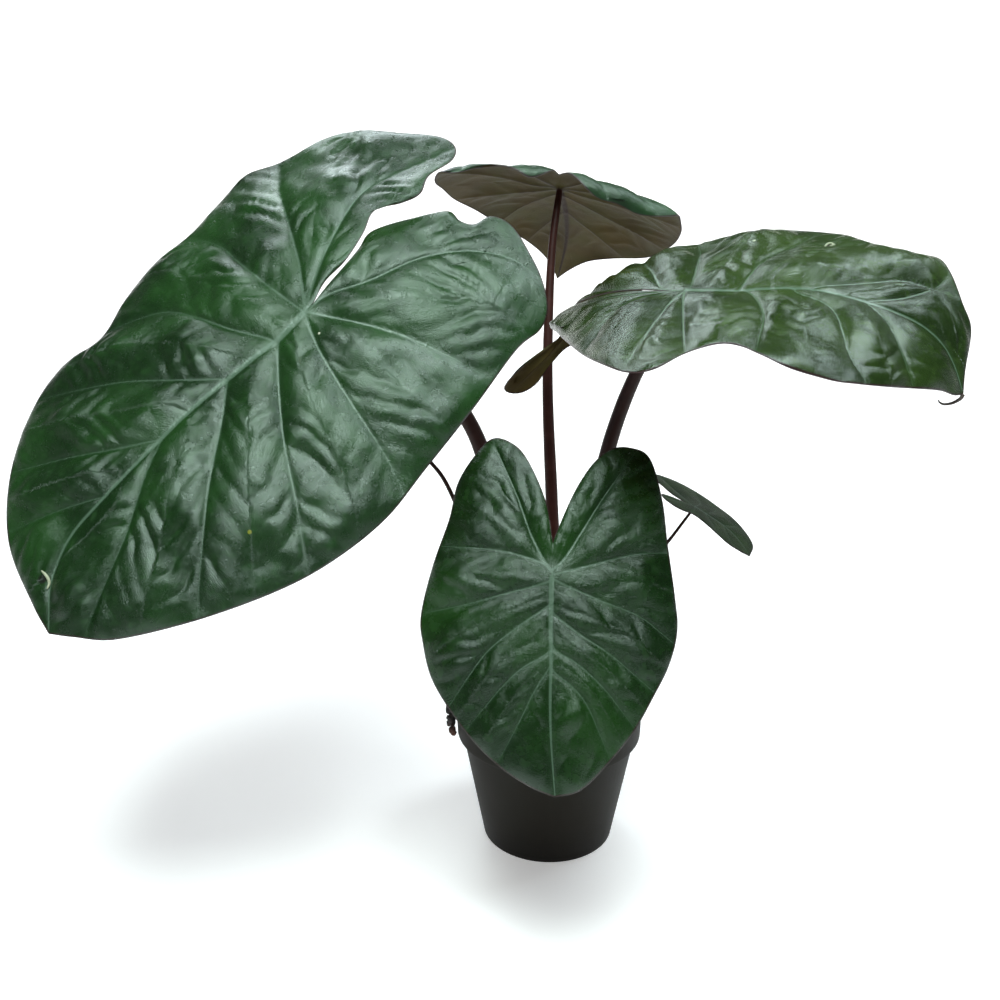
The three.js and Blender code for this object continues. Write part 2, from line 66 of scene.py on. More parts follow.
# Flat leaf outlines: u across and v along the midrib from the junction, in millimetres.
# Each side is the half margin from the foot of the notch to the tip, the main rib of its basal lobe, and
# how far that lobe's inner margin lifts. A curl is (point, direction, length, angle): past the line through
# the point the sheet curls down by the angle. turn is the tip's heading, its climb and the roll, in degrees.
# A vein is (points, half width at the foot), the midrib first. grid is the lobe's rows, the blade's rows
# and the columns. relief scales the quilting, creased is the least strength of the creases, and slant leans
# them, in degrees.
LEAVES = {
    "a": {
        "junction": (-173, -60, 444),
        "turn": (220, -38, 27),
        "grid": (64, 186, 72),
        "slant": 42,
        "creased": 0.35,
        "relief": 1.0,
        "curls": [((0, 0), 0, 140, 22), ((0, 0), 180, 140, 30), ((0, 100), 90, 170, 15), ((0, 0), -90, 140, 12)],
        "right": {
            "lift": 3,
            "rib": [(35, -70), (60, -140)],
            "margin": [
                (0, -8), (6, -28), (6, -50), (12, -76), (20, -97), (9, -114), (5, -130), (14, -150), (13, -175),
                (22, -190), (41, -194), (73, -184), (108, -175), (133, -160), (147, -119), (168, -97),
                (160, -61), (153, -20), (160, 14), (152, 52), (136, 87), (147, 118), (140, 153), (109, 200),
                (65, 238), (15, 259), (-9, 267)],
        },
        "left": {
            "lift": -5,
            "rib": [(-25, -55), (-66, -108)],
            "margin": [
                (0, -8), (3, -28), (5, -44), (9, -66), (14, -82), (8, -98), (-6, -118), (-19, -133), (-32, -130),
                (-42, -134), (-46, -148), (-62, -152), (-86, -143), (-106, -133), (-124, -118), (-131, -100),
                (-129, -75), (-134, -20), (-136, 37), (-137, 80), (-128, 125), (-112, 163), (-84, 206),
                (-50, 244), (-25, 259), (-9, 267)],
        },
        "veins": [
            ([(0, 0), (1, 23), (6, 48), (10, 72), (14, 100), (16, 127), (19, 163), (21, 186), (22, 213),
              (12, 242), (-6, 264)], 2.7),
            ([(0, -2), (7, -7), (36, -32), (74, -59), (110, -84), (136, -107)], 1.5),
            ([(0, -2), (7, -12), (25, -49), (41, -93), (44, -118), (38, -142), (28, -171)], 1.9),
            ([(1, 0), (10, -1), (36, -4), (75, -10), (114, -18), (150, -14)], 1.3),
            ([(2, 28), (12, 30), (37, 37), (65, 41), (99, 48), (122, 66), (137, 84)], 1.2),
            ([(10, 68), (14, 71), (38, 86), (79, 109), (122, 139)], 1.2),
            ([(16, 128), (21, 132), (39, 149), (72, 176), (98, 198)], 1.0),
            ([(20, 178), (28, 186), (44, 204), (60, 224)], 0.7),
            ([(0, -2), (-1, -8), (-4, -23), (-19, -47), (-34, -84), (-55, -112), (-80, -129), (-100, -132)], 1.7),
            ([(0, 0), (-8, -4), (-37, -16), (-63, -26), (-91, -34), (-120, -41)], 1.3),
            ([(0, 0), (-5, 3), (-29, 17), (-69, 33), (-110, 47), (-130, 56)], 1.3),
            ([(1, 24), (-3, 31), (-27, 56), (-53, 81), (-84, 106), (-104, 124)], 1.2),
            ([(10, 68), (4, 76), (-10, 94), (-33, 131), (-48, 153), (-76, 194)], 1.2),
            ([(16, 126), (13, 134), (6, 153), (-10, 187), (-20, 219)], 0.9),
        ],
    },
    "b": {
        "junction": (8, 115, 516),
        "turn": (86, -25, -6),
        "grid": (50, 116, 54),
        "slant": 45,
        "creased": 0.4,
        "relief": 0.62,
        "curls": [((9, -35), -75, 26, 120), ((0, 0), 0, 92, 18), ((0, 0), 180, 92, 22), ((0, 20), 90, 124, 20),
                  ((0, 0), -90, 102, 12)],
        "right": {
            "rib": [(28, -28), (58, -42)],
            "margin": [
                (0, -32), (10, -42), (25, -50), (39, -52), (56, -47), (72, -44), (86, -35), (97, -22),
                (101, -5), (104, 20), (100, 51), (87, 82), (73, 98), (46, 113), (26, 125), (10, 142), (-1, 157)],
        },
        "left": {
            "rib": [(-26, -36), (-55, -60)],
            "margin": [
                (0, -32), (-8, -52), (-20, -62), (-35, -57), (-47, -54), (-62, -63), (-80, -71), (-92, -62),
                (-97, -42), (-93, -21), (-87, 5), (-74, 33), (-52, 74), (-29, 102), (-13, 125), (-3, 149),
                (-1, 157)],
        },
        "veins": [
            ([(0, 0), (5, 44), (6, 98), (0, 155)], 2.2),
            ([(0, 0), (-6, -3), (-24, -9), (-46, -27), (-70, -45)], 1.1),
            ([(0, -1), (-6, -7), (-22, -30), (-34, -46)], 1.1),
            ([(2, 8), (-6, 12), (-33, 39), (-52, 66)], 1.0),
            ([(0, 0), (-20, 6), (-52, 10), (-80, 8)], 0.9),
            ([(5, 40), (-4, 56), (-20, 84), (-28, 98)], 0.8),
            ([(0, 0), (8, -2), (34, -8), (66, -26), (84, -32)], 1.1),
            ([(0, -1), (8, -9), (24, -28), (38, -42)], 1.1),
            ([(0, 0), (26, 8), (62, 12), (94, 10)], 0.9),
            ([(2, 8), (14, 20), (44, 44), (82, 62)], 1.0),
            ([(5, 40), (16, 58), (38, 84), (56, 102)], 0.8),
        ],
    },
    "c": {
        "junction": (86, -59, 459),
        "turn": (-26, 6, -17),
        "grid": (58, 124, 64),
        "slant": 50,
        "creased": 0.4,
        "relief": 1.05,
        "curls": [((0, 0), 0, 93, -11), ((0, 0), 180, 93, 4), ((0, 56), 70, 140, 65), ((19, 0), -42, 56, 14),
                  ((0, -9), -90, 102, 28)],
        "right": {
            "rib": [(14, -40), (0, -104)],
            "margin": [
                (0, -9), (-11, -42), (-24, -72), (-35, -98), (-46, -116), (-52, -132), (-39, -136), (-10, -116),
                (18, -96), (66, -58), (98, -28), (119, -3), (122, 15), (104, 30), (91, 46), (91, 58), (96, 70),
                (100, 88), (92, 111), (80, 128), (64, 148), (47, 168), (33, 185), (26, 197), (19, 204)],
        },
        "left": {
            "curls": [((-43, -103), -150, 24, 100)],
            "rib": [(-40, -60), (-60, -104), (-40, -150), (-14, -176)],
            "margin": [
                (0, -9), (-13, -41), (-26, -72), (-39, -100), (-48, -124), (-41, -146), (-24, -162),
                (-9, -174), (-5, -183), (-11, -190), (-22, -190), (-33, -181), (-41, -165), (-51, -149),
                (-64, -138), (-76, -120), (-84, -98), (-99, -58), (-111, 0), (-115, 28), (-113, 48), (-96, 85),
                (-84, 100), (-76, 115), (-76, 140), (-80, 156), (-70, 166), (-47, 180), (-31, 192), (0, 198),
                (19, 204)],
        },
        "veins": [
            ([(0, 0), (1, 37), (-1, 76), (-1, 101), (-2, 121), (-3, 134), (-5, 155), (-3, 172), (5, 188),
              (17, 202)], 2.2),
            ([(0, 0), (12, 1), (54, 13), (97, 27)], 1.1),
            ([(0, 0), (18, -7), (63, -8), (108, -7)], 1.1),
            ([(0, -3), (5, -32), (20, -50), (50, -55)], 1.0),
            ([(0, -4), (-4, -34), (-16, -70), (-30, -104), (-44, -126)], 1.1),
            ([(1, 40), (14, 50), (44, 62), (80, 66)], 1.0),
            ([(0, 72), (6, 77), (18, 101), (56, 118), (74, 132)], 1.0),
            ([(-2, 118), (10, 136), (30, 152), (46, 162)], 0.8),
            ([(0, 84), (-6, 87), (-20, 111), (-37, 135), (-42, 150)], 0.9),
            ([(0, 0), (-7, 1), (-48, -6), (-74, -11), (-98, -20)], 1.1),
            ([(1, 34), (-4, 36), (-46, 40), (-72, 54), (-96, 66)], 1.0),
            ([(0, -3), (-10, -21), (-48, -41), (-76, -58)], 1.1),
            ([(0, -4), (-16, -44), (-40, -84), (-58, -112), (-44, -148), (-24, -176)], 1.1),
            ([(-2, 118), (-20, 140), (-44, 158), (-60, 164)], 0.8),
        ],
    },
    "d": {
        "junction": (-6, -140, 282),
        "turn": (-94, -56, -1),
        "grid": (52, 120, 60),
        "slant": 33,
        "creased": 0.7,
        "relief": 0.95,
        "curls": [((0, 0), 0, 90, 25), ((0, 0), 180, 90, 25), ((0, 40), 90, 110, 20), ((0, 0), -90, 100, 10)],
        "right": {
            "rib": [(17, -40), (40, -80)],
            "margin": [
                (0, -25), (6, -55), (20, -86), (32, -99), (45, -103), (56, -93), (69, -71), (74, -44), (85, -10),
                (92, 23), (89, 43), (81, 67), (65, 90), (48, 109), (30, 124), (11, 135), (-5, 141)],
        },
        "left": {
            "rib": [(-18, -36), (-46, -76)],
            "margin": [
                (0, -25), (-6, -42), (-15, -64), (-26, -83), (-38, -95), (-52, -98), (-66, -92), (-75, -62),
                (-79, -29), (-84, 5), (-86, 29), (-80, 53), (-69, 75), (-56, 98), (-40, 118), (-22, 136),
                (-5, 141)],
        },
        "veins": [
            ([(0, 0), (0, 27), (-1, 56), (-1, 79), (-2, 104), (-5, 138)], 1.8),
            ([(0, 0), (4, 3), (34, 11), (58, 17), (84, 21)], 1.1),
            ([(0, 16), (3, 19), (20, 31), (40, 47), (53, 64), (66, 84)], 1.1),
            ([(-1, 46), (3, 50), (19, 60), (32, 73), (46, 90)], 0.9),
            ([(-1, 56), (1, 60), (9, 73), (18, 92), (28, 112)], 0.9),
            ([(0, -4), (6, -10), (22, -16), (40, -20), (74, -24)], 1.1),
            ([(0, -5), (7, -15), (16, -33), (25, -57), (38, -86)], 1.2),
            ([(0, 0), (-4, 2), (-32, 13), (-59, 22), (-76, 33)], 1.1),
            ([(0, 21), (-4, 25), (-19, 36), (-39, 48), (-62, 66)], 1.1),
            ([(-1, 43), (-5, 48), (-19, 56), (-36, 71), (-50, 88)], 0.9),
            ([(-1, 58), (-4, 62), (-17, 72), (-26, 84), (-36, 106)], 0.9),
            ([(0, -2), (-6, -4), (-31, -12), (-58, -20), (-78, -23)], 1.1),
            ([(0, -5), (-8, -14), (-18, -31), (-32, -56), (-44, -76)], 1.2),
        ],
    },
    "e": {
        "junction": (114, 20, 278),
        "turn": (-29, -17, 5),
        "grid": (26, 50, 26),
        "slant": 45,
        "creased": 0.4,
        "relief": 0.3,
        "curls": [((0, 0), 0, 30, 3), ((0, 20), 90, 40, 24)],
        "right": {
            "rib": [(6, -12), (9, -18)],
            "margin": [
                (0, -8), (2, -20), (6, -27), (13, -22), (18, -12), (19, -4), (17, 4), (20, 12), (30, 29),
                (34, 42), (30, 53), (24, 60)],
        },
        "left": {
            "rib": [(-10, -16), (-26, -36)],
            "margin": [
                (0, -8), (-5, -22), (-12, -32), (-20, -42), (-32, -48), (-38, -38), (-39, -24), (-34, -5),
                (-22, 18), (-10, 38), (4, 55), (24, 60)],
        },
        "veins": [
            ([(0, 0), (6, 20), (14, 42), (24, 60)], 1.0),
            ([(0, 0), (9, 3), (18, 2)], 0.5),
            ([(3, 10), (13, 18), (24, 26)], 0.5),
            ([(9, 28), (20, 36), (30, 44)], 0.4),
            ([(0, 0), (-14, 0), (-34, -12)], 0.5),
            ([(3, 10), (-8, 14), (-24, 12)], 0.5),
            ([(9, 28), (0, 34), (-10, 34)], 0.4),
            ([(0, -2), (-12, -18), (-30, -40)], 0.5),
            ([(0, -2), (6, -12), (8, -20)], 0.5),
        ],
    },
    "f": {
        "junction": (-121, 20, 348),
        "turn": (165, -30, -8),
        "grid": (26, 50, 26),
        "slant": 45,
        "creased": 0.4,
        "relief": 0.3,
        "curls": [((0, 0), 0, 30, 14), ((0, 0), 180, 30, 14), ((0, 20), 90, 40, 24)],
        "right": {
            "rib": [(7, -14), (15, -24)],
            "margin": [
                (0, -7), (4, -18), (11, -28), (20, -32), (28, -26), (31, -12), (30, 6), (26, 22), (17, 38),
                (7, 51), (0, 60)],
        },
        "left": {
            "rib": [(-7, -14), (-15, -24)],
            "margin": [
                (0, -7), (-4, -18), (-11, -28), (-20, -32), (-28, -26), (-31, -12), (-30, 6), (-26, 22),
                (-17, 38), (-7, 51), (0, 60)],
        },
        "veins": [
            ([(0, 0), (1, 20), (0, 42), (0, 59)], 1.0),
            ([(0, 0), (14, -2), (28, -8)], 0.5),
            ([(0, 8), (12, 14), (25, 20)], 0.5),
            ([(0, 24), (8, 32), (15, 40)], 0.4),
            ([(0, -2), (8, -14), (17, -27)], 0.5),
            ([(0, 0), (-14, -2), (-28, -8)], 0.5),
            ([(0, 8), (-12, 14), (-25, 20)], 0.5),
            ([(0, 24), (-8, 32), (-15, 40)], 0.4),
            ([(0, -2), (-8, -14), (-17, -27)], 0.5),
        ],
    },
}

# Stalks: the path from the foot in the crown to the junction, and the radii at both ends
STALKS = {
    "a": ([(-14, 0, 84), (-24, -4, 180), (-40, -9, 270), (-61, -16, 352), (-112, -36, 420), (-173, -60, 444)],
          (8, 4.6)),
    "b": ([(5, 16, 84), (5, 22, 180), (2, 38, 270), (-2, 60, 370), (1, 92, 462), (8, 115, 516)], (7, 2.7)),
    "c": ([(14, -2, 84), (22, -8, 180), (31, -13, 270), (40, -18, 334), (58, -32, 397), (86, -59, 459)],
          (8, 4.3)),
    "d": ([(-2, -18, 84), (-3, -34, 180), (-4, -62, 245), (-5, -102, 277), (-6, -140, 282)], (7, 3.8)),
    "e": ([(24, 10, 84), (44, 10, 170), (72, 12, 222), (94, 15, 251), (106, 18, 267), (114, 20, 278)],
          (2.6, 1.1)),
    "f": ([(-23, 12, 84), (-42, 13, 190), (-77, 14, 288), (-96, 17, 318), (-121, 20, 348)], (2.6, 1.4)),
}


def length_property(name, description, default):
    """A length of the plant or pot, in metres."""
    return FloatProperty(name=name, description=description, default=default, unit="LENGTH")


def colour_property(name, description, default):
    """A colour of the plant or pot, as linear red, green and blue."""
    return FloatVectorProperty(name=name, description=description, default=default, subtype="COLOR", size=3)


class PlantSizes(PropertyGroup):
    """Sizes of the plant that the outlines leave open."""

    blade_thickness: length_property("Blade thickness", "Distance between a blade's two faces", 0.0006)
    quilt_height: length_property("Quilt height", "How far a large blade swells between its veins", 0.0056)
    ripple_height: length_property("Ripple height", "Height of the ridges that run off the side veins", 0.0017)
    ripple_spacing: length_property("Ripple spacing", "Distance between two of those ridges", 0.0145)
    rib_height: length_property("Rib height", "How far the midrib stands out under a large blade", 0.0022)


class PotSizes(PropertyGroup):
    """Sizes of the pot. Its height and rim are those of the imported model's box."""

    height: length_property("Pot height", "From the base to the top of the rim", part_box("pot")[1][2])
    rim_radius: length_property("Rim radius", "Outer radius at the top of the rim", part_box("pot")[1][0])
    base_radius: length_property("Base radius", "Outer radius at the foot of the wall", 0.0535)
    neck_radius: length_property("Neck radius", "Outer radius just under the rim band", 0.0705)
    band_height: length_property("Band height", "Height of the rim band", 0.023)
    wall: length_property("Wall", "Thickness of the pot's wall", 0.0016)
    floor: length_property("Floor", "Thickness of the pot's floor", 0.0024)
    drain_radius: length_property("Drain radius", "Radius of each hole in the floor", 0.0045)
    drain_circle: length_property("Drain circle", "Radius of the ring that the holes stand on", 0.040)
    chips: IntProperty(name="Bark chips", description="How many loose chips lie on the mix", default=520)


class PlantColours(PropertyGroup):
    """Colours of the plant and pot."""

    leaf_dark: colour_property("Leaf, dark", "Deepest green of the upper faces", (0.0035, 0.020, 0.0028))
    leaf_mid: colour_property("Leaf, mid", "Commonest green of the upper faces", (0.0115, 0.052, 0.0090))
    leaf_vein: colour_property("Leaf, veins", "Pale green of the ribs on the upper faces", (0.070, 0.118, 0.078))
    leaf_under: colour_property("Leaf, underside", "Brown-olive of the undersides", (0.056, 0.038, 0.0105))
    leaf_rim: colour_property("Leaf, margin", "Thin dark line along the margins", (0.022, 0.010, 0.010))
    stalk: colour_property("Stalk", "Purple-brown of the stalks", (0.023, 0.0080, 0.0065))
    stalk_foot: colour_property("Stalk foot", "Red-brown of the stalks' feet", (0.045, 0.009, 0.006))
    crown: colour_property("Crown", "Dry sheaths round the crown", (0.095, 0.050, 0.028))
    mix: colour_property("Mix", "Dark fibre and bark", (0.022, 0.014, 0.009))
    bark: colour_property("Bark", "Lighter faces of the bark chips", (0.085, 0.045, 0.025))
    pot: colour_property("Pot", "Brown-grey plastic", (0.0080, 0.0064, 0.0034))


def smooth_line(points, per_span=20):
    """Points along a Catmull-Rom curve: on each span the cubic through its two ends whose slope at a point is
    half the step between that point's neighbours; past an end the neighbour is the end mirrored."""
    p = np.asarray(points, float)
    p = np.vstack([2 * p[0] - p[1], p, 2 * p[-1] - p[-2]])
    a, b, c, d = p[:-3, None], p[1:-2, None], p[2:-1, None], p[3:, None]
    t = np.linspace(0, 1, per_span, endpoint=False)[None, :, None]
    curve = 0.5 * (2 * b + (c - a) * t + (2 * a - 5 * b + 4 * c - d) * t ** 2 + (3 * b - a - 3 * c + d) * t ** 3)
    return np.vstack([curve.reshape(-1, p.shape[1]), p[-2]])


def arc_lengths(line):
    """Distance along a polyline from its start to each of its points."""
    return np.concatenate([[0], np.cumsum(np.linalg.norm(np.diff(line, axis=0), axis=1))])


def along_line(line, fractions):
    """Points at these fractions of a polyline's length."""
    length = arc_lengths(line)
    at = np.asarray(fractions) * length[-1]
    return np.stack([np.interp(at, length, line[:, k]) for k in range(line.shape[1])], -1)


def swell(points, wavelength, seed, terms=7):
    """Smooth noise from -1 to 1: the mean of a few sine waves of about this wavelength, each with its own
    direction and phase, scaled so that its usual height is about 0.5."""
    rng = np.random.default_rng(seed)
    points = np.asarray(points, float)
    directions = rng.normal(size=(terms, points.shape[-1]))
    directions /= np.linalg.norm(directions, axis=1, keepdims=True)
    rates = 2 * math.pi / (wavelength * rng.uniform(0.7, 1.5, terms))
    phases = rng.uniform(0, 2 * math.pi, terms)
    waves = np.sin(points @ (directions * rates[:, None]).T + phases)
    return np.clip(waves.sum(-1) / math.sqrt(terms), -1.5, 1.5) / 1.5


def ease(value, low, high):
    """0 below low, 1 above high, and a smooth cubic step between."""
    t = np.clip((value - low) / (high - low), 0, 1)
    return t * t * (3 - 2 * t)


def curl(points, at, direction, length, angle):
    """Flat points (u, v, h) past the line through at wrap down round a cylinder whose arc of this length turns
    by the angle, and go on straight after it."""
    e = np.array([math.cos(math.radians(direction)), math.sin(math.radians(direction))])
    rate = -math.radians(angle) / length
    distance = (points[..., :2] - np.asarray(at, float)) @ e
    arc = np.clip(distance, 0, length)
    beyond = np.maximum(distance - length, 0)
    sine, cosine = np.sin(rate * arc), np.cos(rate * arc)
    height = points[..., 2]
    forward = np.minimum(distance, 0) + sine / rate + beyond * cosine - height * sine
    up = (1 - cosine) / rate + beyond * sine + height * cosine
    return np.concatenate([points[..., :2] + (forward - distance)[..., None] * e, up[..., None]], -1)


def leaf_axes(turn):
    """Rows: across, along and out of the upper face, for a tip with this heading, climb and roll."""
    heading, climb, roll = (math.radians(angle) for angle in turn)
    along = np.array([math.cos(climb) * math.cos(heading), math.cos(climb) * math.sin(heading), math.sin(climb)])
    out = np.array([-math.sin(climb) * math.cos(heading), -math.sin(climb) * math.sin(heading), math.cos(climb)])
    across = np.cross(along, out)
    return np.stack([
        math.cos(roll) * across + math.sin(roll) * out,
        along,
        math.cos(roll) * out - math.sin(roll) * across,
    ])


# Share of the midrib that the grid's spine follows, and the spacing of the columns from it to the margin
SPINE_REACH = 0.86
COLUMN_POWER = 0.92
LAST_COLUMN = 0.988


def half_grid(half, lobe_rows, blade_rows, columns):
    """Flat points of one half blade: straight lines from a spine to the margin. The spine runs out along the
    lobe's rib, back to the junction and on up the midrib; the margin is shared out evenly by length.
    Also gives the lobe's lift and the distance to the margin at each point, in millimetres."""
    margin = smooth_line(half["margin"])
    length = arc_lengths(margin) / arc_lengths(margin)[-1]
    lowest = int(np.argmin(margin[:, 1]))
    lobe = length[lowest]
    shoulder = length[lowest + int(np.argmax(margin[lowest:, 1] >= 0))]
    steps = np.arange(lobe_rows) / lobe_rows
    share = np.concatenate([
        lobe * steps,
        lobe + (shoulder - lobe) * steps,
        np.linspace(shoulder, 1, blade_rows + 1),
    ])
    rib = smooth_line([(0, 0)] + half["rib"])
    midrib = np.outer(np.linspace(0, SPINE_REACH, blade_rows + 1), half["margin"][-1])
    spine = np.vstack([along_line(rib, steps), along_line(rib, 1 - steps), midrib])
    edge = along_line(margin, share)
    t = np.append(np.linspace(0, 1, columns) ** COLUMN_POWER * LAST_COLUMN, 1)
    flat = spine[:, None] * (1 - t)[None, :, None] + edge[:, None] * t[None, :, None]
    lift = np.where(share < lobe, np.sin(math.pi * share / lobe) ** 2, 0) * half.get("lift", 0)
    to_margin = np.linalg.norm(edge - spine, axis=1)[:, None] * (1 - t)
    return flat, lift[:, None] * t ** 2, to_margin


def weld_table(lobe_rows, blade_rows, columns):
    """Numbers of the grid points of the two halves, where a point that both halves or both runs along a rib
    share has one number."""
    rows = 2 * lobe_rows + blade_rows + 1
    left = np.arange(rows * (columns + 1)).reshape(rows, columns + 1)
    right = left + left.size
    for half in (left, right):
        half[lobe_rows + 1:2 * lobe_rows, 0] = half[1:lobe_rows, 0][::-1]
    left[2 * lobe_rows, 0] = left[0, 0]
    right[0] = left[0]
    right[-1] = left[-1]
    right[2 * lobe_rows:, 0] = left[2 * lobe_rows:, 0]
    return left, right


# Veins: how far they run on past their last point, how much of their width they lose, the least share of it,
# and a side vein's share of its written width
VEIN_RUN_ON = 45
VEIN_TAPER = 0.8
VEIN_LEAST = 0.12
SIDE_VEIN_SHARE = 0.72


def to_vein(flat, points, half_width):
    """For each flat point: signed distance to a vein's line, distance along the line to the nearest point on it,
    and the vein's half width there, in millimetres. The line runs straight on past its end, to the margin."""
    line = smooth_line(points, 6)
    ahead = line[-1] - line[-3]
    line = np.vstack([line, line[-1] + VEIN_RUN_ON * ahead / np.linalg.norm(ahead)])
    start, step = line[:-1], np.diff(line, axis=0)
    length = arc_lengths(line)
    offset = flat[:, None] - start[None]
    t = np.clip((offset * step).sum(-1) / (step ** 2).sum(-1), 0, 1)
    distance = np.linalg.norm(offset - t[..., None] * step, axis=-1)
    nearest = np.argmin(distance, axis=1)
    pick = np.arange(len(flat))
    cross = step[nearest, 0] * offset[pick, nearest, 1] - step[nearest, 1] * offset[pick, nearest, 0]
    along = length[nearest] + t[pick, nearest] * np.linalg.norm(step, axis=1)[nearest]
    return (distance[pick, nearest] * np.where(cross < 0, -1.0, 1.0), along,
            half_width * np.maximum(1 - VEIN_TAPER * along / length[-2], VEIN_LEAST))


def vein_field(flat, veins):
    """The midrib's to_vein values, those of the nearest side vein, and the distances to the nearest and the
    second nearest of all veins."""
    midrib = to_vein(flat, *veins[0])
    fields = [to_vein(flat, points, SIDE_VEIN_SHARE * half_width) for points, half_width in veins[1:]]
    distances = np.stack([np.abs(field[0]) for field in fields])
    nearest = np.argmin(distances, axis=0)
    pick = np.arange(len(flat))
    side_vein = [np.stack([field[k] for field in fields])[nearest, pick] for k in range(3)]
    ordered = np.sort(np.vstack([distances, np.abs(midrib[0])[None]]), axis=0)
    return midrib, side_vein, ordered[0], ordered[1]


# Relief, in millimetres: the lengths over which it fades in from the margin and the junction, the margin's drop
# and its length, the width of a bay between veins at which its swell is full, the depths of dimples and of the
# groove on a vein, and the length over which ribs fade in
MARGIN_FADE = 8
HUB_FADE = 13
MARGIN_DROP = 1.1
MARGIN_DROP_LENGTH = 7
FULL_BAY = 40
DIMPLE_DEPTH = 1.1
GROOVE_DEPTH = 0.5
RIB_FADE = 6


def blade_relief(flat, to_margin, leaf, sizes):
    """Height of the quilted sheet over its plain form, how far the ribs stand out beneath as a share, and the
    values that its shader reads. The sheet swells between neighbouring veins as a sine of the share of the way
    from one to the other. It is creased where the sine of the slant times the distance along the nearest side
    vein, less the cosine times the distance from it, is a whole number of spacings, bent by noise. Both die out
    at the margin and at the junction, and the margin turns down a little."""
    midrib, (side, along, width), nearest, second = vein_field(flat, leaf["veins"])
    spread = nearest + second
    share = nearest / np.maximum(spread, 1e-6)
    hub = np.hypot(flat[:, 0], flat[:, 1] + 2)
    fade = (1 - np.exp(-to_margin / MARGIN_FADE)) * (1 - np.exp(-(hub / HUB_FADE) ** 2))
    pillow = np.sin(math.pi * share) ** 0.8 * np.clip(spread / FULL_BAY, 0, 1)
    uneven = 0.9 + 0.5 * swell(flat, 70, 3)
    slant = math.radians(leaf["slant"])
    grain = math.sin(slant) * along - math.cos(slant) * np.abs(side)
    spacing = sizes.ripple_spacing / MM
    phase = math.pi * grain / spacing + 1.3 * swell(flat, 62, 5) + 0.35 * swell(flat, 20, 6)
    puff = np.abs(np.sin(phase)) - 0.6
    window = np.clip(nearest / 6, 0, 1) * np.clip(spread / 30, 0.25, 1)
    strength = leaf["creased"] + (1.2 - leaf["creased"]) * ease(swell(flat, 58, 7), -0.4, 0.5)
    dimple = 0.6 * swell(flat, 27, 11) + 0.08 * swell(flat, 9, 13)
    groove = np.exp(-(nearest / (1.2 + 0.8 * width)) ** 2)
    drop = MARGIN_DROP * leaf["relief"] * np.exp(-to_margin / MARGIN_DROP_LENGTH)
    height = leaf["relief"] * fade * (
        sizes.quilt_height / MM * (pillow * uneven - 0.35)
        + sizes.ripple_height / MM * puff * window * strength
        + DIMPLE_DEPTH * dimple * np.clip(nearest / 5, 0, 1)
        - GROOVE_DEPTH * groove) - drop
    widest = max(vein[1] for vein in leaf["veins"][1:])
    rib = (
        np.exp(-(np.abs(midrib[0]) / (1.0 + midrib[2])) ** 2) * midrib[2] / leaf["veins"][0][1]
        + 0.45 * np.exp(-(np.abs(side) / (0.9 + width)) ** 2) * width / widest / SIDE_VEIN_SHARE)
    values = {"midrib": midrib[0], "midrib_width": midrib[2], "side_vein": side, "side_width": width,
              "near": nearest, "grain": grain}
    return height, rib, values


def make_piece(name, vertices, faces, materials, face_material=None, flat=None, numbers=None):
    """A smooth mesh object at the origin that rides on the body. vertices are in metres, faces are index rows,
    flat are texture coordinates of each vertex, and numbers are named values of each vertex."""
    mesh = bpy.data.meshes.new(name)
    mesh.from_pydata(np.asarray(vertices).tolist(), [], [list(face) for face in faces])
    mesh.polygons.foreach_set("use_smooth", np.ones(len(mesh.polygons), bool))
    if face_material is not None:
        mesh.polygons.foreach_set("material_index", np.asarray(face_material, np.int32))
    if flat is not None:
        corner = np.empty(len(mesh.loops), np.int32)
        mesh.loops.foreach_get("vertex_index", corner)
        mesh.uv_layers.new(name="flat").data.foreach_set("uv", np.asarray(flat)[corner].ravel())
    for key, values in (numbers or {}).items():
        mesh.attributes.new(key, "FLOAT", "POINT").data.foreach_set("value", np.asarray(values, np.float32))
    mesh.update()
    mesh.validate()
    piece = bpy.data.objects.new(name, mesh)
    for material in materials:
        mesh.materials.append(material)
    bpy.context.scene.collection.objects.link(piece)
    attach(piece, BODY)
    return piece


def grid_faces(ids, flip=False):
    """Quads between neighbouring rows and columns of a table of vertex numbers."""
    quads = np.stack([ids[:-1, :-1], ids[1:, :-1], ids[1:, 1:], ids[:-1, 1:]], -1).reshape(-1, 4)
    return quads[:, ::-1] if flip else quads


def placed(points, leaf, side):
    """Points (u, v, h) of one side of a flat blade, in millimetres, curled, turned and moved to the blade's
    place, in metres."""
    for bend in leaf[side].get("curls", []) + leaf["curls"]:
        points = curl(points, *bend)
    return (points @ leaf_axes(leaf["turn"]) + leaf["junction"]) * MM


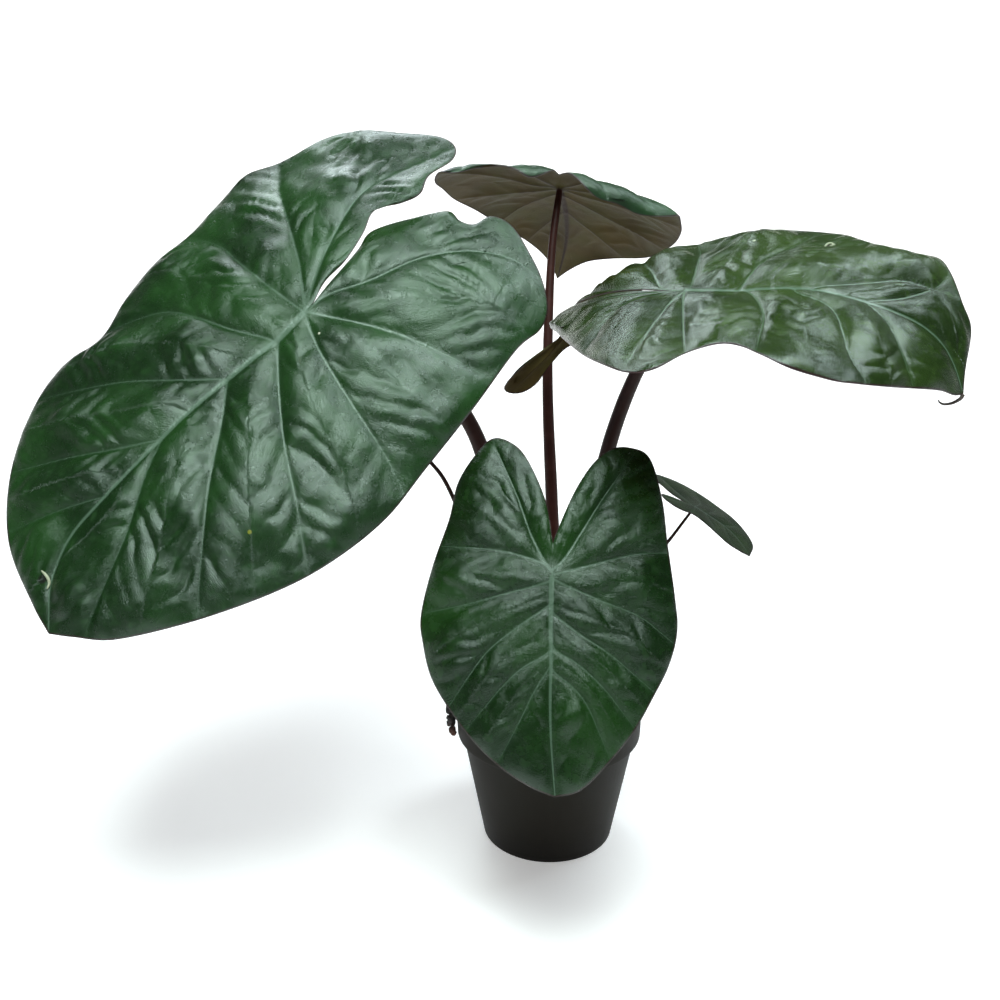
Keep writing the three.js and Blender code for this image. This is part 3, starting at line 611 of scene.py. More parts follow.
def blade_mesh(leaf, sizes):
    """Upper face, lower face and margin of one blade as (vertices, quads, material numbers, flat coordinates,
    values). Each face is the relief over the flat grid, curled and then placed; the lower face lies one
    thickness under the upper one, and deeper along the ribs."""
    tables = weld_table(*leaf["grid"])
    grids = [half_grid(leaf[side], *leaf["grid"]) for side in SIDES]
    count = tables[0].size
    flat = np.concatenate([grid[0].reshape(-1, 2) for grid in grids])
    lift, to_margin = (np.concatenate([grid[k].ravel() for grid in grids]) for k in (1, 2))
    height, rib, values = blade_relief(flat, to_margin, leaf, sizes)
    rib_depth = sizes.rib_height / MM * rib * (1 - np.exp(-to_margin / RIB_FADE)) * min(1, leaf["relief"] + 0.1)
    upper_level = lift + height
    lower_level = upper_level - sizes.blade_thickness / MM - rib_depth
    vertices = []
    for level in (upper_level, lower_level):
        points = np.concatenate([flat, level[:, None]], -1)
        vertices += [placed(part, leaf, side) for side, part in zip(SIDES, (points[:count], points[count:]))]
    quads = []
    kinds = []
    for table, mirrored in zip(tables, (False, True)):
        edge = np.stack([table[:, -1], table[:, -1] + 2 * count], -1)
        faces = (grid_faces(table, mirrored), grid_faces(table + 2 * count, not mirrored), grid_faces(edge, mirrored))
        quads += faces
        kinds += [np.full(len(part), kind) for kind, part in enumerate(faces)]
    used, renumbered = np.unique(np.concatenate(quads), return_inverse=True)
    source = used % (2 * count)
    values["to_margin"] = to_margin
    values = {key: value[source] for key, value in values.items()}
    return (np.concatenate(vertices)[used], renumbered.reshape(-1, 4), np.concatenate(kinds),
            flat[source] / FLAT_SPAN + 0.5, values)


class Shader:
    """A node material in the making: short calls that add nodes and link them."""

    def __init__(self, name):
        self.material = bpy.data.materials.new(name)
        self.material.use_nodes = True
        self.tree = self.material.node_tree
        self.surface = self.tree.nodes["Principled BSDF"]

    def node(self, kind, **settings):
        """A new node with these settings."""
        new = self.tree.nodes.new(kind)
        for key, value in settings.items():
            setattr(new, key, value)
        return new

    def link(self, value, socket):
        """Sets a socket to a number, a colour or another node's output."""
        if isinstance(value, bpy.types.NodeSocket):
            self.tree.links.new(value, socket)
        elif isinstance(value, (tuple, list)) and len(value) == 3 and socket.type == "RGBA":
            socket.default_value = (*value, 1)
        else:
            socket.default_value = value

    def set(self, **sockets):
        """Sets sockets of the surface, with _ for each blank in their names."""
        for key, value in sockets.items():
            self.link(value, self.surface.inputs[key.replace("_", " ")])

    def value(self, name):
        """A named value of the mesh's points."""
        return self.node("ShaderNodeAttribute", attribute_name=name).outputs["Fac"]

    def place(self):
        """Place on the object, in metres."""
        return self.node("ShaderNodeTexCoord").outputs["Object"]

    def above_base(self):
        """Height over the pot's base, in metres."""
        node = self.node("ShaderNodeSeparateXYZ")
        self.link(self.place(), node.inputs[0])
        return node.outputs["Z"]

    def flat(self):
        """The piece's own flat texture coordinates."""
        return self.node("ShaderNodeUVMap", uv_map="flat").outputs["UV"]

    def math(self, operation, a, b=0.0):
        """One number worked out from one or two."""
        node = self.node("ShaderNodeMath", operation=operation)
        self.link(a, node.inputs[0])
        self.link(b, node.inputs[1])
        return node.outputs[0]

    def step(self, value, low, high, out_low=0.0, out_high=1.0):
        """A smooth step from out_low at low to out_high at high."""
        node = self.node("ShaderNodeMapRange", interpolation_type="SMOOTHSTEP")
        for socket, number in zip(node.inputs[:5], (value, low, high, out_low, out_high)):
            self.link(number, socket)
        return node.outputs["Result"]

    def fall(self, value, low, high):
        """A smooth step from 1 at low to 0 at high."""
        return self.step(value, low, high, 1.0, 0.0)

    def noise(self, vector, scale, detail=3.0, roughness=0.5, distortion=0.0, stretch=None):
        """Smooth noise, finer along the axes that are stretched."""
        if stretch is not None:
            mapping = self.node("ShaderNodeMapping")
            self.link(vector, mapping.inputs["Vector"])
            mapping.inputs["Scale"].default_value = stretch
            vector = mapping.outputs["Vector"]
        node = self.node("ShaderNodeTexNoise")
        self.link(vector, node.inputs["Vector"])
        for key, number in (("Scale", scale), ("Detail", detail), ("Roughness", roughness), ("Distortion", distortion)):
            node.inputs[key].default_value = number
        return node.outputs["Fac"]

    def threads(self, across, scale, detail, roughness):
        """Noise drawn out along a blade's creases."""
        run = self.node("ShaderNodeCombineXYZ")
        self.link(self.value("grain"), run.inputs[0])
        self.link(self.math("MULTIPLY", self.value("near"), across), run.inputs[1])
        return self.noise(run.outputs[0], scale, detail, roughness)

    def cells(self, vector, scale, feature="F1"):
        """Distance to the middle or the edge of irregular cells."""
        node = self.node("ShaderNodeTexVoronoi", feature=feature)
        self.link(vector, node.inputs["Vector"])
        node.inputs["Scale"].default_value = scale
        return node.outputs["Distance"]

    def mix(self, factor, first, second):
        """The first colour at 0 and the second at 1."""
        node = self.node("ShaderNodeMix", data_type="RGBA")
        for number, value in ((0, factor), (6, first), (7, second)):
            self.link(value, node.inputs[number])
        return node.outputs[2]

    def wash(self, colour, over, pattern, low, high, strength):
        """A second colour laid over the first as the pattern rises from low to high."""
        return self.mix(self.math("MULTIPLY", self.step(pattern, low, high), strength), colour, over)

    def rough(self, least, pattern, spread):
        """Roughness that a pattern raises from its least."""
        self.set(Roughness=self.math("ADD", least, self.math("MULTIPLY", pattern, spread)))

    def bump(self, *layers):
        """Fine relief, from layers of (height, distance, strength), each on top of the one before."""
        normal = None
        for height, distance, strength in layers:
            node = self.node("ShaderNodeBump")
            node.inputs["Strength"].default_value = strength
            node.inputs["Distance"].default_value = distance
            self.link(height, node.inputs["Height"])
            if normal is not None:
                self.link(normal, node.inputs["Normal"])
            normal = node.outputs["Normal"]
        self.set(Normal=normal)


def times(colour, factor):
    """A colour made lighter or darker by a factor."""
    return tuple(channel * factor for channel in colour)


def vein_lines(shader, widen=1.0):
    """Two masks, 1 on the midrib and on the side veins: the signed distances cross zero along the veins."""
    masks = []
    for distance, width, limit in (("midrib", "midrib_width", 6.0), ("side_vein", "side_width", 2.6)):
        away = shader.math("ABSOLUTE", shader.value(distance))
        ratio = shader.math("DIVIDE", away, shader.math("MULTIPLY", shader.value(width), widen))
        near = shader.fall(shader.value("near"), limit * 0.75, limit)
        masks.append(shader.math("MULTIPLY", shader.fall(ratio, 0.5, 1.3), near))
    return masks


def margin_line(shader, colour, colours):
    """The colour with a dark line along the margin."""
    return shader.mix(shader.fall(shader.value("to_margin"), 0.5, 1.6), colour, tuple(colours.leaf_rim))


def upper_face_material(name, colours, look, marks):
    """Waxy quilted green: deep and mid greens in random patches, pale ribs, fine slanted grain, and a dark
    line along the margin. look is the tint, the roughness, the shine and the strength of the fine crinkle."""
    tint, roughness, shine, crinkled = look
    s = Shader(name)
    dark, mid = (tuple(c * t for c, t in zip(base, tint)) for base in (colours.leaf_dark, colours.leaf_mid))
    pale = tuple(colours.leaf_vein)
    place = s.place()
    fleck = s.noise(place, 120, 3, 0.6)
    colour = s.mix(s.step(s.noise(place, 14, 4, 0.6), 0.35, 0.68), dark, mid)
    colour = s.wash(colour, tuple(c * 1.45 + 0.004 for c in mid), fleck, 0.5, 0.75, 0.35)
    midrib, side_veins = vein_lines(s)
    beside_vein = s.fall(s.value("near"), 0.0, 4.0)
    for mask, strength in ((beside_vein, 0.07), (side_veins, 0.5), (midrib, 0.8)):
        colour = s.mix(s.math("MULTIPLY", mask, strength), colour, pale)
    colour = margin_line(s, colour, colours)
    for (u, v), radius, mark in marks:
        spot = s.node("ShaderNodeVectorMath", operation="DISTANCE")
        s.link(s.flat(), spot.inputs[0])
        spot.inputs[1].default_value = (u / FLAT_SPAN + 0.5, v / FLAT_SPAN + 0.5, 0)
        colour = s.mix(s.fall(spot.outputs["Value"], radius / FLAT_SPAN * 0.6, radius / FLAT_SPAN), colour, mark)
    s.set(Base_Color=colour, Specular_IOR_Level=shine, Specular_Tint=(0.86, 1.0, 0.94))
    s.rough(roughness, fleck, 0.09)
    s.bump(
        (s.threads(0.2, 1.6, 3, 0.65), 0.0006, 0.6),
        (s.noise(place, 330, 3, 0.6, 0.6), 0.0004, crinkled),
        (s.step(s.cells(place, 800, "DISTANCE_TO_EDGE"), 0.0, 0.25), 0.00008, 0.5))
    return s.material


def under_face_material(name, colours):
    """Brown-olive underside, matter than the upper face, with darker red-brown ribs."""
    s = Shader(name)
    place = s.place()
    base = tuple(colours.leaf_under)
    blotch = s.noise(place, 16, 4, 0.6)
    colour = s.mix(s.step(blotch, 0.3, 0.7), times(base, 0.62), base)
    colour = s.wash(colour, (base[0] * 0.75, base[1] * 1.15, base[2] * 0.8), s.noise(place, 40, 3), 0.4, 0.7, 0.4)
    for mask, strength in zip(vein_lines(s, 1.5), (0.8, 0.55)):
        colour = s.mix(s.math("MULTIPLY", mask, strength), colour, times(colours.stalk, 0.7))
    s.set(Base_Color=margin_line(s, colour, colours), Specular_IOR_Level=0.12)
    s.rough(0.52, blotch, 0.14)
    s.bump((s.threads(0.22, 1.3, 2, 0.6), 0.0006, 0.5), (s.noise(place, 900, 3), 0.0002, 0.5))
    return s.material


def rim_material(colours):
    """The cut edge of the blade: dark purple-brown with paler stretches."""
    s = Shader("leaf_margin")
    patches = s.step(s.noise(s.place(), 60, 3), 0.45, 0.7)
    s.set(Base_Color=s.mix(patches, tuple(colours.leaf_rim), times(colours.leaf_rim, 2.2)), Roughness=0.5)
    return s.material


def stalk_material(name, colours, shade, reddish, height):
    """Purple-brown skin, redder and darker towards the foot, with long streaks and fine flecks."""
    s = Shader(name)
    streaks = s.noise(s.flat(), 1.0, 4, 0.6, stretch=(46, 7, 1))
    flecks = s.noise(s.flat(), 1.0, 3, 0.6, stretch=(60, 160, 1))
    body = times(colours.stalk, shade)
    colour = s.mix(s.step(s.above_base(), 0.10, height), times(colours.stalk_foot, reddish), body)
    colour = s.wash(colour, times(body, 2.0), streaks, 0.45, 0.75, 0.5)
    colour = s.wash(colour, times(body, 0.4), flecks, 0.56, 0.72, 0.45)
    s.set(Base_Color=colour, Specular_IOR_Level=0.12)
    s.rough(0.34, streaks, 0.2)
    s.bump((streaks, 0.0005, 0.5))
    return s.material


def crown_material(colours):
    """Dry papery sheath fibres that run up the crown."""
    s = Shader("crown_sheath")
    base = tuple(colours.crown)
    fibres = s.noise(s.place(), 1.0, 5, 0.7, stretch=(420, 420, 36))
    colour = s.mix(s.step(fibres, 0.35, 0.7), times(base, 0.35), base)
    colour = s.wash(colour, times(base, 1.9), s.noise(s.place(), 60, 4, 0.6), 0.5, 0.7, 0.5)
    s.set(Base_Color=colour, Roughness=0.75)
    s.bump((fibres, 0.0012, 0.8))
    return s.material


def mix_material(name, colours, bark):
    """Dark fibre with brown bark faces and grey dust. bark is the share of bark in the lighter colour."""
    s = Shader(name)
    coarse = s.noise(s.place(), 130, 5, 0.7)
    fine = s.noise(s.place(), 800, 4, 0.7)
    light = tuple(c * bark + m * (1 - bark) for c, m in zip(colours.bark, colours.mix))
    colour = s.mix(s.step(coarse, 0.4, 0.66), tuple(colours.mix), light)
    colour = s.wash(colour, tuple(0.5 * c + 0.03 for c in light), fine, 0.55, 0.75, 0.5)
    s.set(Base_Color=colour, Roughness=0.88)
    s.bump((coarse, 0.0012, 0.8), (fine, 0.0004, 0.8))
    return s.material


def clump_material():
    """Near-black lumps, with red-brown dry root towards the lower end."""
    s = Shader("clump_root")
    coarse = s.noise(s.place(), 260, 4, 0.7)
    low = s.fall(s.math("ADD", s.above_base(), s.math("MULTIPLY", coarse, 0.012)), 0.097, 0.109)
    colour = s.mix(low, (0.010, 0.007, 0.006), (0.090, 0.030, 0.018))
    s.set(Base_Color=s.wash(colour, (0.05, 0.03, 0.02), coarse, 0.5, 0.75, 0.4), Roughness=0.7)
    s.bump((coarse, 0.0009, 0.8))
    return s.material


def pot_material(colours):
    """Moulded brown-grey plastic, with painted shade that darkens it near the base: faint flow streaks, a few dark
    specks and fine grain.
    """
    s = Shader("pot_plastic")
    place = s.place()
    base = tuple(colours.pot)
    clouds = s.noise(place, 22, 4, 0.6)
    streaks = s.noise(place, 1.0, 3, 0.6, stretch=(260, 260, 12))
    # Painted shade: the colour is 0.62 of the base colour at the foot and reaches full colour 5 cm up.
    colour = s.mix(s.step(s.above_base(), 0.0, 0.05), times(base, 0.62), base)
    colour = s.wash(colour, times(base, 1.35), clouds, 0.4, 0.7, 0.35)
    colour = s.wash(colour, times(base, 1.5), streaks, 0.5, 0.8, 0.25)
    sparse = s.step(s.noise(place, 30, 2), 0.56, 0.62)
    grit = s.math("MULTIPLY", s.fall(s.cells(place, 75), 0.06, 0.11), sparse)
    s.set(Base_Color=s.mix(grit, colour, (0.008, 0.006, 0.005)), Specular_IOR_Level=0.14)
    s.rough(0.48, clouds, 0.14)
    s.bump((s.noise(place, 1500, 3), 0.00012, 0.6), (streaks, 0.0002, 0.4))
    return s.material


def ring_quads(around, rows, start=0):
    """Quads of a surface of stacked rings, each closed on itself."""
    ids = start + np.arange(rows)[:, None] * around + np.append(np.arange(around), 0)[None]
    return grid_faces(ids)


def capped_faces(around, rows):
    """Faces of stacked rings whose first and last are closed by triangles. The middles of the two are the
    vertices that follow the rings."""
    ring = np.arange(around)
    following = np.roll(ring, -1)
    last = (rows - 1) * around
    middle = np.full(around, rows * around)
    faces = ring_quads(around, rows).tolist()
    faces += np.stack([ring, following, middle], -1).tolist()
    faces += np.stack([last + following, last + ring, middle + 1], -1).tolist()
    return faces


def copied_faces(faces, vertex_count, copies):
    """The faces of one shape, once for each of its copies, whose vertices follow each other."""
    return [[corner + k * vertex_count for corner in face] for k in range(copies) for face in faces]


def circle(around):
    """Directions (x, y) of length 1, evenly spaced."""
    angle = np.arange(around) / around * 2 * math.pi
    return np.stack([np.cos(angle), np.sin(angle)], -1)


def tube(line, radii, around, squash=None):
    """Points on rings about a path: at each path point a circle of its radius in the plane square to the path,
    with one axis kept square to the Y axis. squash scales the radius round the ring."""
    tangent = np.gradient(line, axis=0)
    tangent /= np.linalg.norm(tangent, axis=1, keepdims=True)
    side = np.cross(tangent, (0.0, 1.0, 0.0))
    side /= np.linalg.norm(side, axis=1, keepdims=True)
    other = np.cross(tangent, side)
    turn = circle(around)
    radius = radii[:, None] * (np.ones(around) if squash is None else squash)
    return line[:, None] + radius[..., None] * (turn[:, :1] * side[:, None] + turn[:, 1:] * other[:, None])


def closed_tube(line, radii, around, squash=None):
    """A tube with both ends closed by triangles to a middle point: vertices, faces, and texture coordinates
    round and along it."""
    rings = tube(line, radii, around, squash)
    vertices = np.vstack([rings.reshape(-1, 3), line[0], line[-1]])
    round_it = np.abs(np.linspace(-1, 1, around, endpoint=False))
    flat = np.stack(np.broadcast_arrays(round_it[None] * 0.05, arc_lengths(line)[:, None]), -1).reshape(-1, 2)
    return vertices, capped_faces(around, len(line)), np.vstack([flat, flat[0], flat[-1]])


class ALOCASIA_OT_pot(Operator):
    """Nursery pot: a turned wall with a rim band, and a floor with a ring of drain holes."""

    bl_idname = "alocasia.pot"
    bl_label = "Pot"

    def execute(self, context):
        sizes = context.scene.alocasia_pot
        piece = build_pot(sizes, pot_material(context.scene.alocasia_colours))
        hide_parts("pot")
        return {"FINISHED"}


def round_corners(profile, radius, steps=4):
    """A profile whose corners are each replaced by a short curve: the quadratic from the point one radius
    before the corner to the point one radius after it."""
    p = np.asarray(profile, float)
    before = p[:-2] - p[1:-1]
    after = p[2:] - p[1:-1]
    reach_before = np.minimum(radius / np.linalg.norm(before, axis=1), 0.45)[:, None]
    reach_after = np.minimum(radius / np.linalg.norm(after, axis=1), 0.45)[:, None]
    first = p[1:-1] + before * reach_before
    last = p[1:-1] + after * reach_after
    t = np.linspace(0, 1, steps)[None, :, None]
    curve = first[:, None] * (1 - t) ** 2 + 2 * p[1:-1, None] * t * (1 - t) + last[:, None] * t ** 2
    return np.vstack([p[:1], curve.reshape(-1, 2), p[-1:]])


def subdivide(profile, longest):
    """A profile with points added so that no step is longer than this."""
    p = np.asarray(profile, float)
    length = arc_lengths(p)
    extra = np.arange(0, length[-1], longest)
    at = np.unique(np.concatenate([length, extra]))
    return np.stack([np.interp(at, length, p[:, 0]), np.interp(at, length, p[:, 1])], -1)


DRAIN_HOLES = 8
POINTS_PER_HOLE = 20
# The ring of the floor that the holes are in, from its inner to its outer radius
FLOOR_RING = (0.030, 0.0495)
RIM_TAPER = 0.0008
CORNER_ROUNDING = 0.0006


def build_pot(sizes, material):
    """The wall is a profile turned about the Z axis, from the floor's outer ring round the rim and down inside.
    Each drain hole is a patch between a circle and the edges of its own eighth of the floor's ring. The middle
    of the underside stays open over a radius of 0.6 mm, because the flipped triangles there are dropped."""
    around = DRAIN_HOLES * POINTS_PER_HOLE
    ring_in, ring_out = FLOOR_RING
    band_foot = sizes.height - sizes.band_height
    wall = sizes.wall
    profile = round_corners([
        (ring_out, 0), (sizes.base_radius, 0), (sizes.neck_radius, band_foot - 0.0006),
        (sizes.rim_radius - RIM_TAPER, band_foot), (sizes.rim_radius, sizes.height),
        (sizes.rim_radius - wall, sizes.height), (sizes.rim_radius - RIM_TAPER - wall, band_foot + 0.0015),
        (sizes.neck_radius - wall, band_foot - 0.0005), (sizes.base_radius - wall, sizes.floor),
        (ring_out, sizes.floor)], CORNER_ROUNDING)
    profile = subdivide(profile, 0.004)
    turn = circle(around)
    wall_points = np.concatenate([
        profile[:, None, :1] * turn[None], np.broadcast_to(profile[:, None, 1:], (len(profile), around, 1))], -1)
    pieces = [wall_points.reshape(-1, 3)]
    faces = [ring_quads(around, len(profile))[:, ::-1]]
    start = len(pieces[0])
    centre_rows = 6
    radius = np.linspace(ring_in, 0.0006, centre_rows)
    for height, facing in ((0.0, -1), (sizes.floor, 1)):
        disc = np.concatenate([
            radius[:, None, None] * turn[None], np.full((centre_rows, around, 1), height)], -1).reshape(-1, 3)
        middle = start + len(disc)
        last = middle - around + np.arange(around)
        fan = np.stack([last, np.roll(last, -1), np.full(around, middle), np.full(around, middle)], -1)
        faces += [ring_quads(around, centre_rows, start)[:, ::facing], fan[:, ::facing]]
        pieces += [disc, np.array([[0, 0, height]])]
        start = middle + 1
    patch_rows = 7
    radial = np.linspace(ring_in, ring_out, patch_rows)
    sector = (np.arange(POINTS_PER_HOLE + 1) / POINTS_PER_HOLE - 0.5) * 2 * math.pi / DRAIN_HOLES
    edge = np.vstack([
        np.stack([np.full(POINTS_PER_HOLE, ring_out), sector[:-1]], -1),
        np.stack([radial[::-1][:-1], np.full(patch_rows - 1, sector[-1])], -1),
        np.stack([np.full(POINTS_PER_HOLE, ring_in), sector[::-1][:-1]], -1),
        np.stack([radial[:-1], np.full(patch_rows - 1, sector[0])], -1),
    ])
    edge_xy = edge[:, :1] * np.stack([np.cos(edge[:, 1]), np.sin(edge[:, 1])], -1)
    centre = np.array([sizes.drain_circle, 0])
    heading = edge_xy - centre
    bore = centre + sizes.drain_radius * heading / np.linalg.norm(heading, axis=1, keepdims=True)
    sheet_rows = 5
    blend = np.linspace(0, 1, sheet_rows)[:, None, None]
    sheet = bore[None] * (1 - blend) + edge_xy[None] * blend
    count = len(edge)
    for k in range(DRAIN_HOLES):
        a = (k + 0.5) * 2 * math.pi / DRAIN_HOLES
        spin = np.array([[math.cos(a), math.sin(a)], [-math.sin(a), math.cos(a)]])
        flat_patch = (sheet @ spin).reshape(-1, 2)
        for height, facing in ((0.0, 1), (sizes.floor, -1)):
            pieces.append(np.column_stack([flat_patch, np.full(len(flat_patch), height)]))
            faces.append(ring_quads(count, sheet_rows, start)[:, ::facing])
            start += len(flat_patch)
        pieces += [np.column_stack([bore @ spin, np.full(count, height)]) for height in (0.0, sizes.floor)]
        faces.append(ring_quads(count, 2, start)[:, ::-1])
        start += 2 * count
    cleaned, index = np.unique(np.round(np.vstack(pieces), 7), axis=0, return_inverse=True)
    joined = index.reshape(-1)[np.concatenate(faces)]
    rows = [row[:3] if row[2] == row[3] else row for row in joined.tolist()]
    piece = make_piece("nursery_pot", cleaned, rows, [material])
    tidy_normals(piece)
    return piece


def tidy_normals(piece):
    """Joins points that coincide and turns all faces outwards."""
    mesh = piece.data
    work = bmesh.new()
    work.from_mesh(mesh)
    bmesh.ops.remove_doubles(work, verts=work.verts, dist=2e-6)
    bmesh.ops.recalc_face_normals(work, faces=work.faces)
    work.to_mesh(mesh)
    work.free()
    mesh.update()


class ALOCASIA_OT_mix(Operator):
    """Potting mix: a lumpy filling, and loose bark chips on it."""

    bl_idname = "alocasia.mix"
    bl_label = "Mix"

    def execute(self, context):
        colours = context.scene.alocasia_colours
        build_mix(mix_material("mix_fibre", colours, 0.55))
        build_chips(context.scene.alocasia_pot.chips, mix_material("mix_bark", colours, 1.0))
        return {"FINISHED"}


SOIL_TOP_EDGE = 98 * MM
SOIL_DOME = 3 * MM
SOIL_LUMPS = 1.2 * MM


def soil_height(x, y):
    """Height of the mix: a low dome with lumps of three sizes, let down by their height."""
    place = np.stack([x, y], -1) / MM
    lumps = swell(place, 26, 21) + 0.55 * swell(place, 9, 22) + 0.35 * swell(place, 4, 23)
    return SOIL_TOP_EDGE + SOIL_DOME * (1 - (np.hypot(x, y) / 0.072) ** 2) - SOIL_LUMPS + SOIL_LUMPS * lumps


def build_mix(material):
    """Rings from the middle of the top out to the wall, down the wall and in under the bottom."""
    around = 144
    rings_top = 60
    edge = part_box("soil")[1][0] - 0.0002
    side = np.array([
        (edge, 0.0945), (0.0687, 0.0915), (0.0687, 0.0910), (0.0600, 0.045), (0.0515, 0.0030), (0.030, 0.0027),
        (0.001, 0.0027)])
    radius = np.concatenate([np.linspace(0.0005, edge, rings_top), side[:, 0]])
    x, y = (radius[:, None] * part for part in circle(around).T)
    z = np.empty_like(x)
    z[:rings_top] = soil_height(x[:rings_top], y[:rings_top])
    z[rings_top:] = side[:, 1:]
    vertices = np.vstack([np.stack([x, y, z], -1).reshape(-1, 3), (0, 0, z[0].mean()), (0, 0, side[-1, 1])])
    piece = make_piece("mix_surface", vertices, capped_faces(around, len(radius)), [material])
    tidy_normals(piece)
    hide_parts("soil")


def unit_ball(rows, around):
    """Points on rings from pole to pole of a ball of radius 1, and then its two poles."""
    polar = (np.arange(rows) + 1) / (rows + 1) * math.pi
    rings = np.concatenate([
        np.sin(polar)[:, None, None] * circle(around),
        np.broadcast_to(np.cos(polar)[:, None, None], (rows, around, 1))], -1)
    return np.vstack([rings.reshape(-1, 3), (0, 0, 1), (0, 0, -1)])


def turned(points, angle, first, second):
    """Sets of points, each turned by its own angle from the first axis towards the second."""
    cosine, sine = np.cos(angle)[:, None], np.sin(angle)[:, None]
    result = points.copy()
    result[..., first] = points[..., first] * cosine - points[..., second] * sine
    result[..., second] = points[..., first] * sine + points[..., second] * cosine
    return result


def build_chips(count, material):
    """Each chip is a small ball squared off by a power, stretched on its three axes, roughened, turned at
    random and sunk a third of its height into the mix."""
    rng = np.random.default_rng(31)
    rows, around = 4, 7
    unit = unit_ball(rows, around)
    squared = np.sign(unit) * np.abs(unit) ** 0.6
    radius = 0.0705 * np.sqrt(rng.uniform(0.0, 1, count * 2))
    angle = rng.uniform(0, 2 * math.pi, count * 2)
    x, y = radius * np.cos(angle), radius * np.sin(angle)
    clear = np.hypot(x, y) > 0.0305
    x, y = x[clear][:count], y[clear][:count]
    number = len(x)
    size = rng.uniform(0.9, 3.4, (number, 1)) * MM
    axes = size * np.stack([np.ones(number), rng.uniform(0.5, 0.9, number), rng.uniform(0.25, 0.5, number)], -1)
    bumps = 1 + 0.18 * rng.normal(size=(number, len(unit), 1))
    turn = rng.uniform(0, 2 * math.pi, number)
    tilt = rng.normal(0, 0.45, number)
    points = turned(turned(squared[None] * axes[:, None] * bumps, tilt, 0, 2), turn, 0, 1)
    reach = np.hypot(x, y) + size[:, 0] * 1.25
    pull = np.minimum(1, 0.0722 / reach)
    place = np.stack([x * pull, y * pull, soil_height(x * pull, y * pull) + axes[:, 2] * 0.35], -1)
    vertices = (points + place[:, None]).reshape(-1, 3)
    faces = copied_faces(capped_faces(around, rows), len(unit), number)
    piece = make_piece("bark_chips", vertices, faces, [material])


# Lumps of the clump: place and radius, in millimetres
CLUMP_LUMPS = [
    (-66.5, -6, 105.6, 4.6), (-68.2, -5.5, 111.5, 4.3), (-69.5, -5.2, 116.5, 4.0), (-73.5, -5, 119.6, 4.0),
    (-77.2, -5.5, 120, 3.6), (-79.9, -5.5, 116.5, 4.0), (-80.4, -4, 111, 4.2), (-79.6, -8, 105.5, 4.0),
    (-80, -5, 100, 3.8), (-78.9, -8, 95, 3.2), (-78, -7, 91.5, 2.6)]


class ALOCASIA_OT_rim_clump(Operator):
    """The dark clump of mix and dry root that lies over the rim at the left."""

    bl_idname = "alocasia.rim_clump"
    bl_label = "Rim clump"

    def execute(self, context):
        rows, around = 22, 30
        unit = unit_ball(rows, around)
        parts = []
        for k, (x, y, z, radius) in enumerate(CLUMP_LUMPS):
            rough = 0.94 + 0.16 * swell(unit * 10, 9, 40 + k) + 0.08 * swell(unit * 10, 3.5, 60 + k)
            parts.append((unit * rough[:, None] * radius + (x, y, z)) * MM)
        faces = copied_faces(capped_faces(around, rows), len(unit), len(CLUMP_LUMPS))
        piece = make_piece("rim_lumps", np.vstack(parts), faces, [clump_material()])
        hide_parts("rim_clump")
        return {"FINISHED"}


# The crown's outline, as radius and height in millimetres
CROWN_PROFILE = [
    (0.4, 62), (16, 64), (23, 76), (28, 88), (28.6, 96), (28.2, 102), (25.5, 107), (20, 110.6), (14, 112.6),
    (7, 113.4), (0.4, 113.6)]


class ALOCASIA_OT_crown(Operator):
    """The crown: a short ringed stem wrapped in dry sheaths."""

    bl_idname = "alocasia.crown"
    bl_label = "Crown"

    def execute(self, context):
        around = 160
        line = smooth_line(CROWN_PROFILE, 8)
        turn = circle(around)
        angle = np.arange(around) / around * 2 * math.pi
        folds = 0.7 * np.sin(11 * angle + 0.06 * line[:, 1:]) + 0.5 * np.sin(23 * angle + 1.7)
        radius = np.maximum(line[:, :1] - 1.2 + folds * np.clip(line[:, :1] / 20, 0, 1) * 0.7, 0.2)
        points = np.concatenate([
            radius[..., None] * turn[None],
            np.broadcast_to(line[:, None, 1:], (len(line), around, 1))], -1).reshape(-1, 3)
        lumps = swell(points, 12, 71)[:, None] * 0.5
        points = points + lumps * (points / np.maximum(np.linalg.norm(points, axis=1, keepdims=True), 1))
        vertices = np.vstack([points, (0, 0, 61.8), (0, 0, 113.6)]) * MM
        material = crown_material(context.scene.alocasia_colours)
        piece = make_piece("crown_stem", vertices, capped_faces(around, len(line)), [material])
        tidy_normals(piece)
        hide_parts("crown")
        return {"FINISHED"}


# Each stalk's brightness, the strength of its red foot, and the height in metres at which the red ends
STALK_LOOKS = {
    "a": (1.0, 1.0, 0.32), "b": (1.35, 1.0, 0.36), "c": (0.75, 0.7, 0.40), "d": (0.8, 1.3, 0.30),
    "e": (1.2, 0.9, 0.24), "f": (1.0, 0.9, 0.28)}
# A stalk with a foot thicker than this, in millimetres, gets more points and more ridges
THICK_FOOT = 4


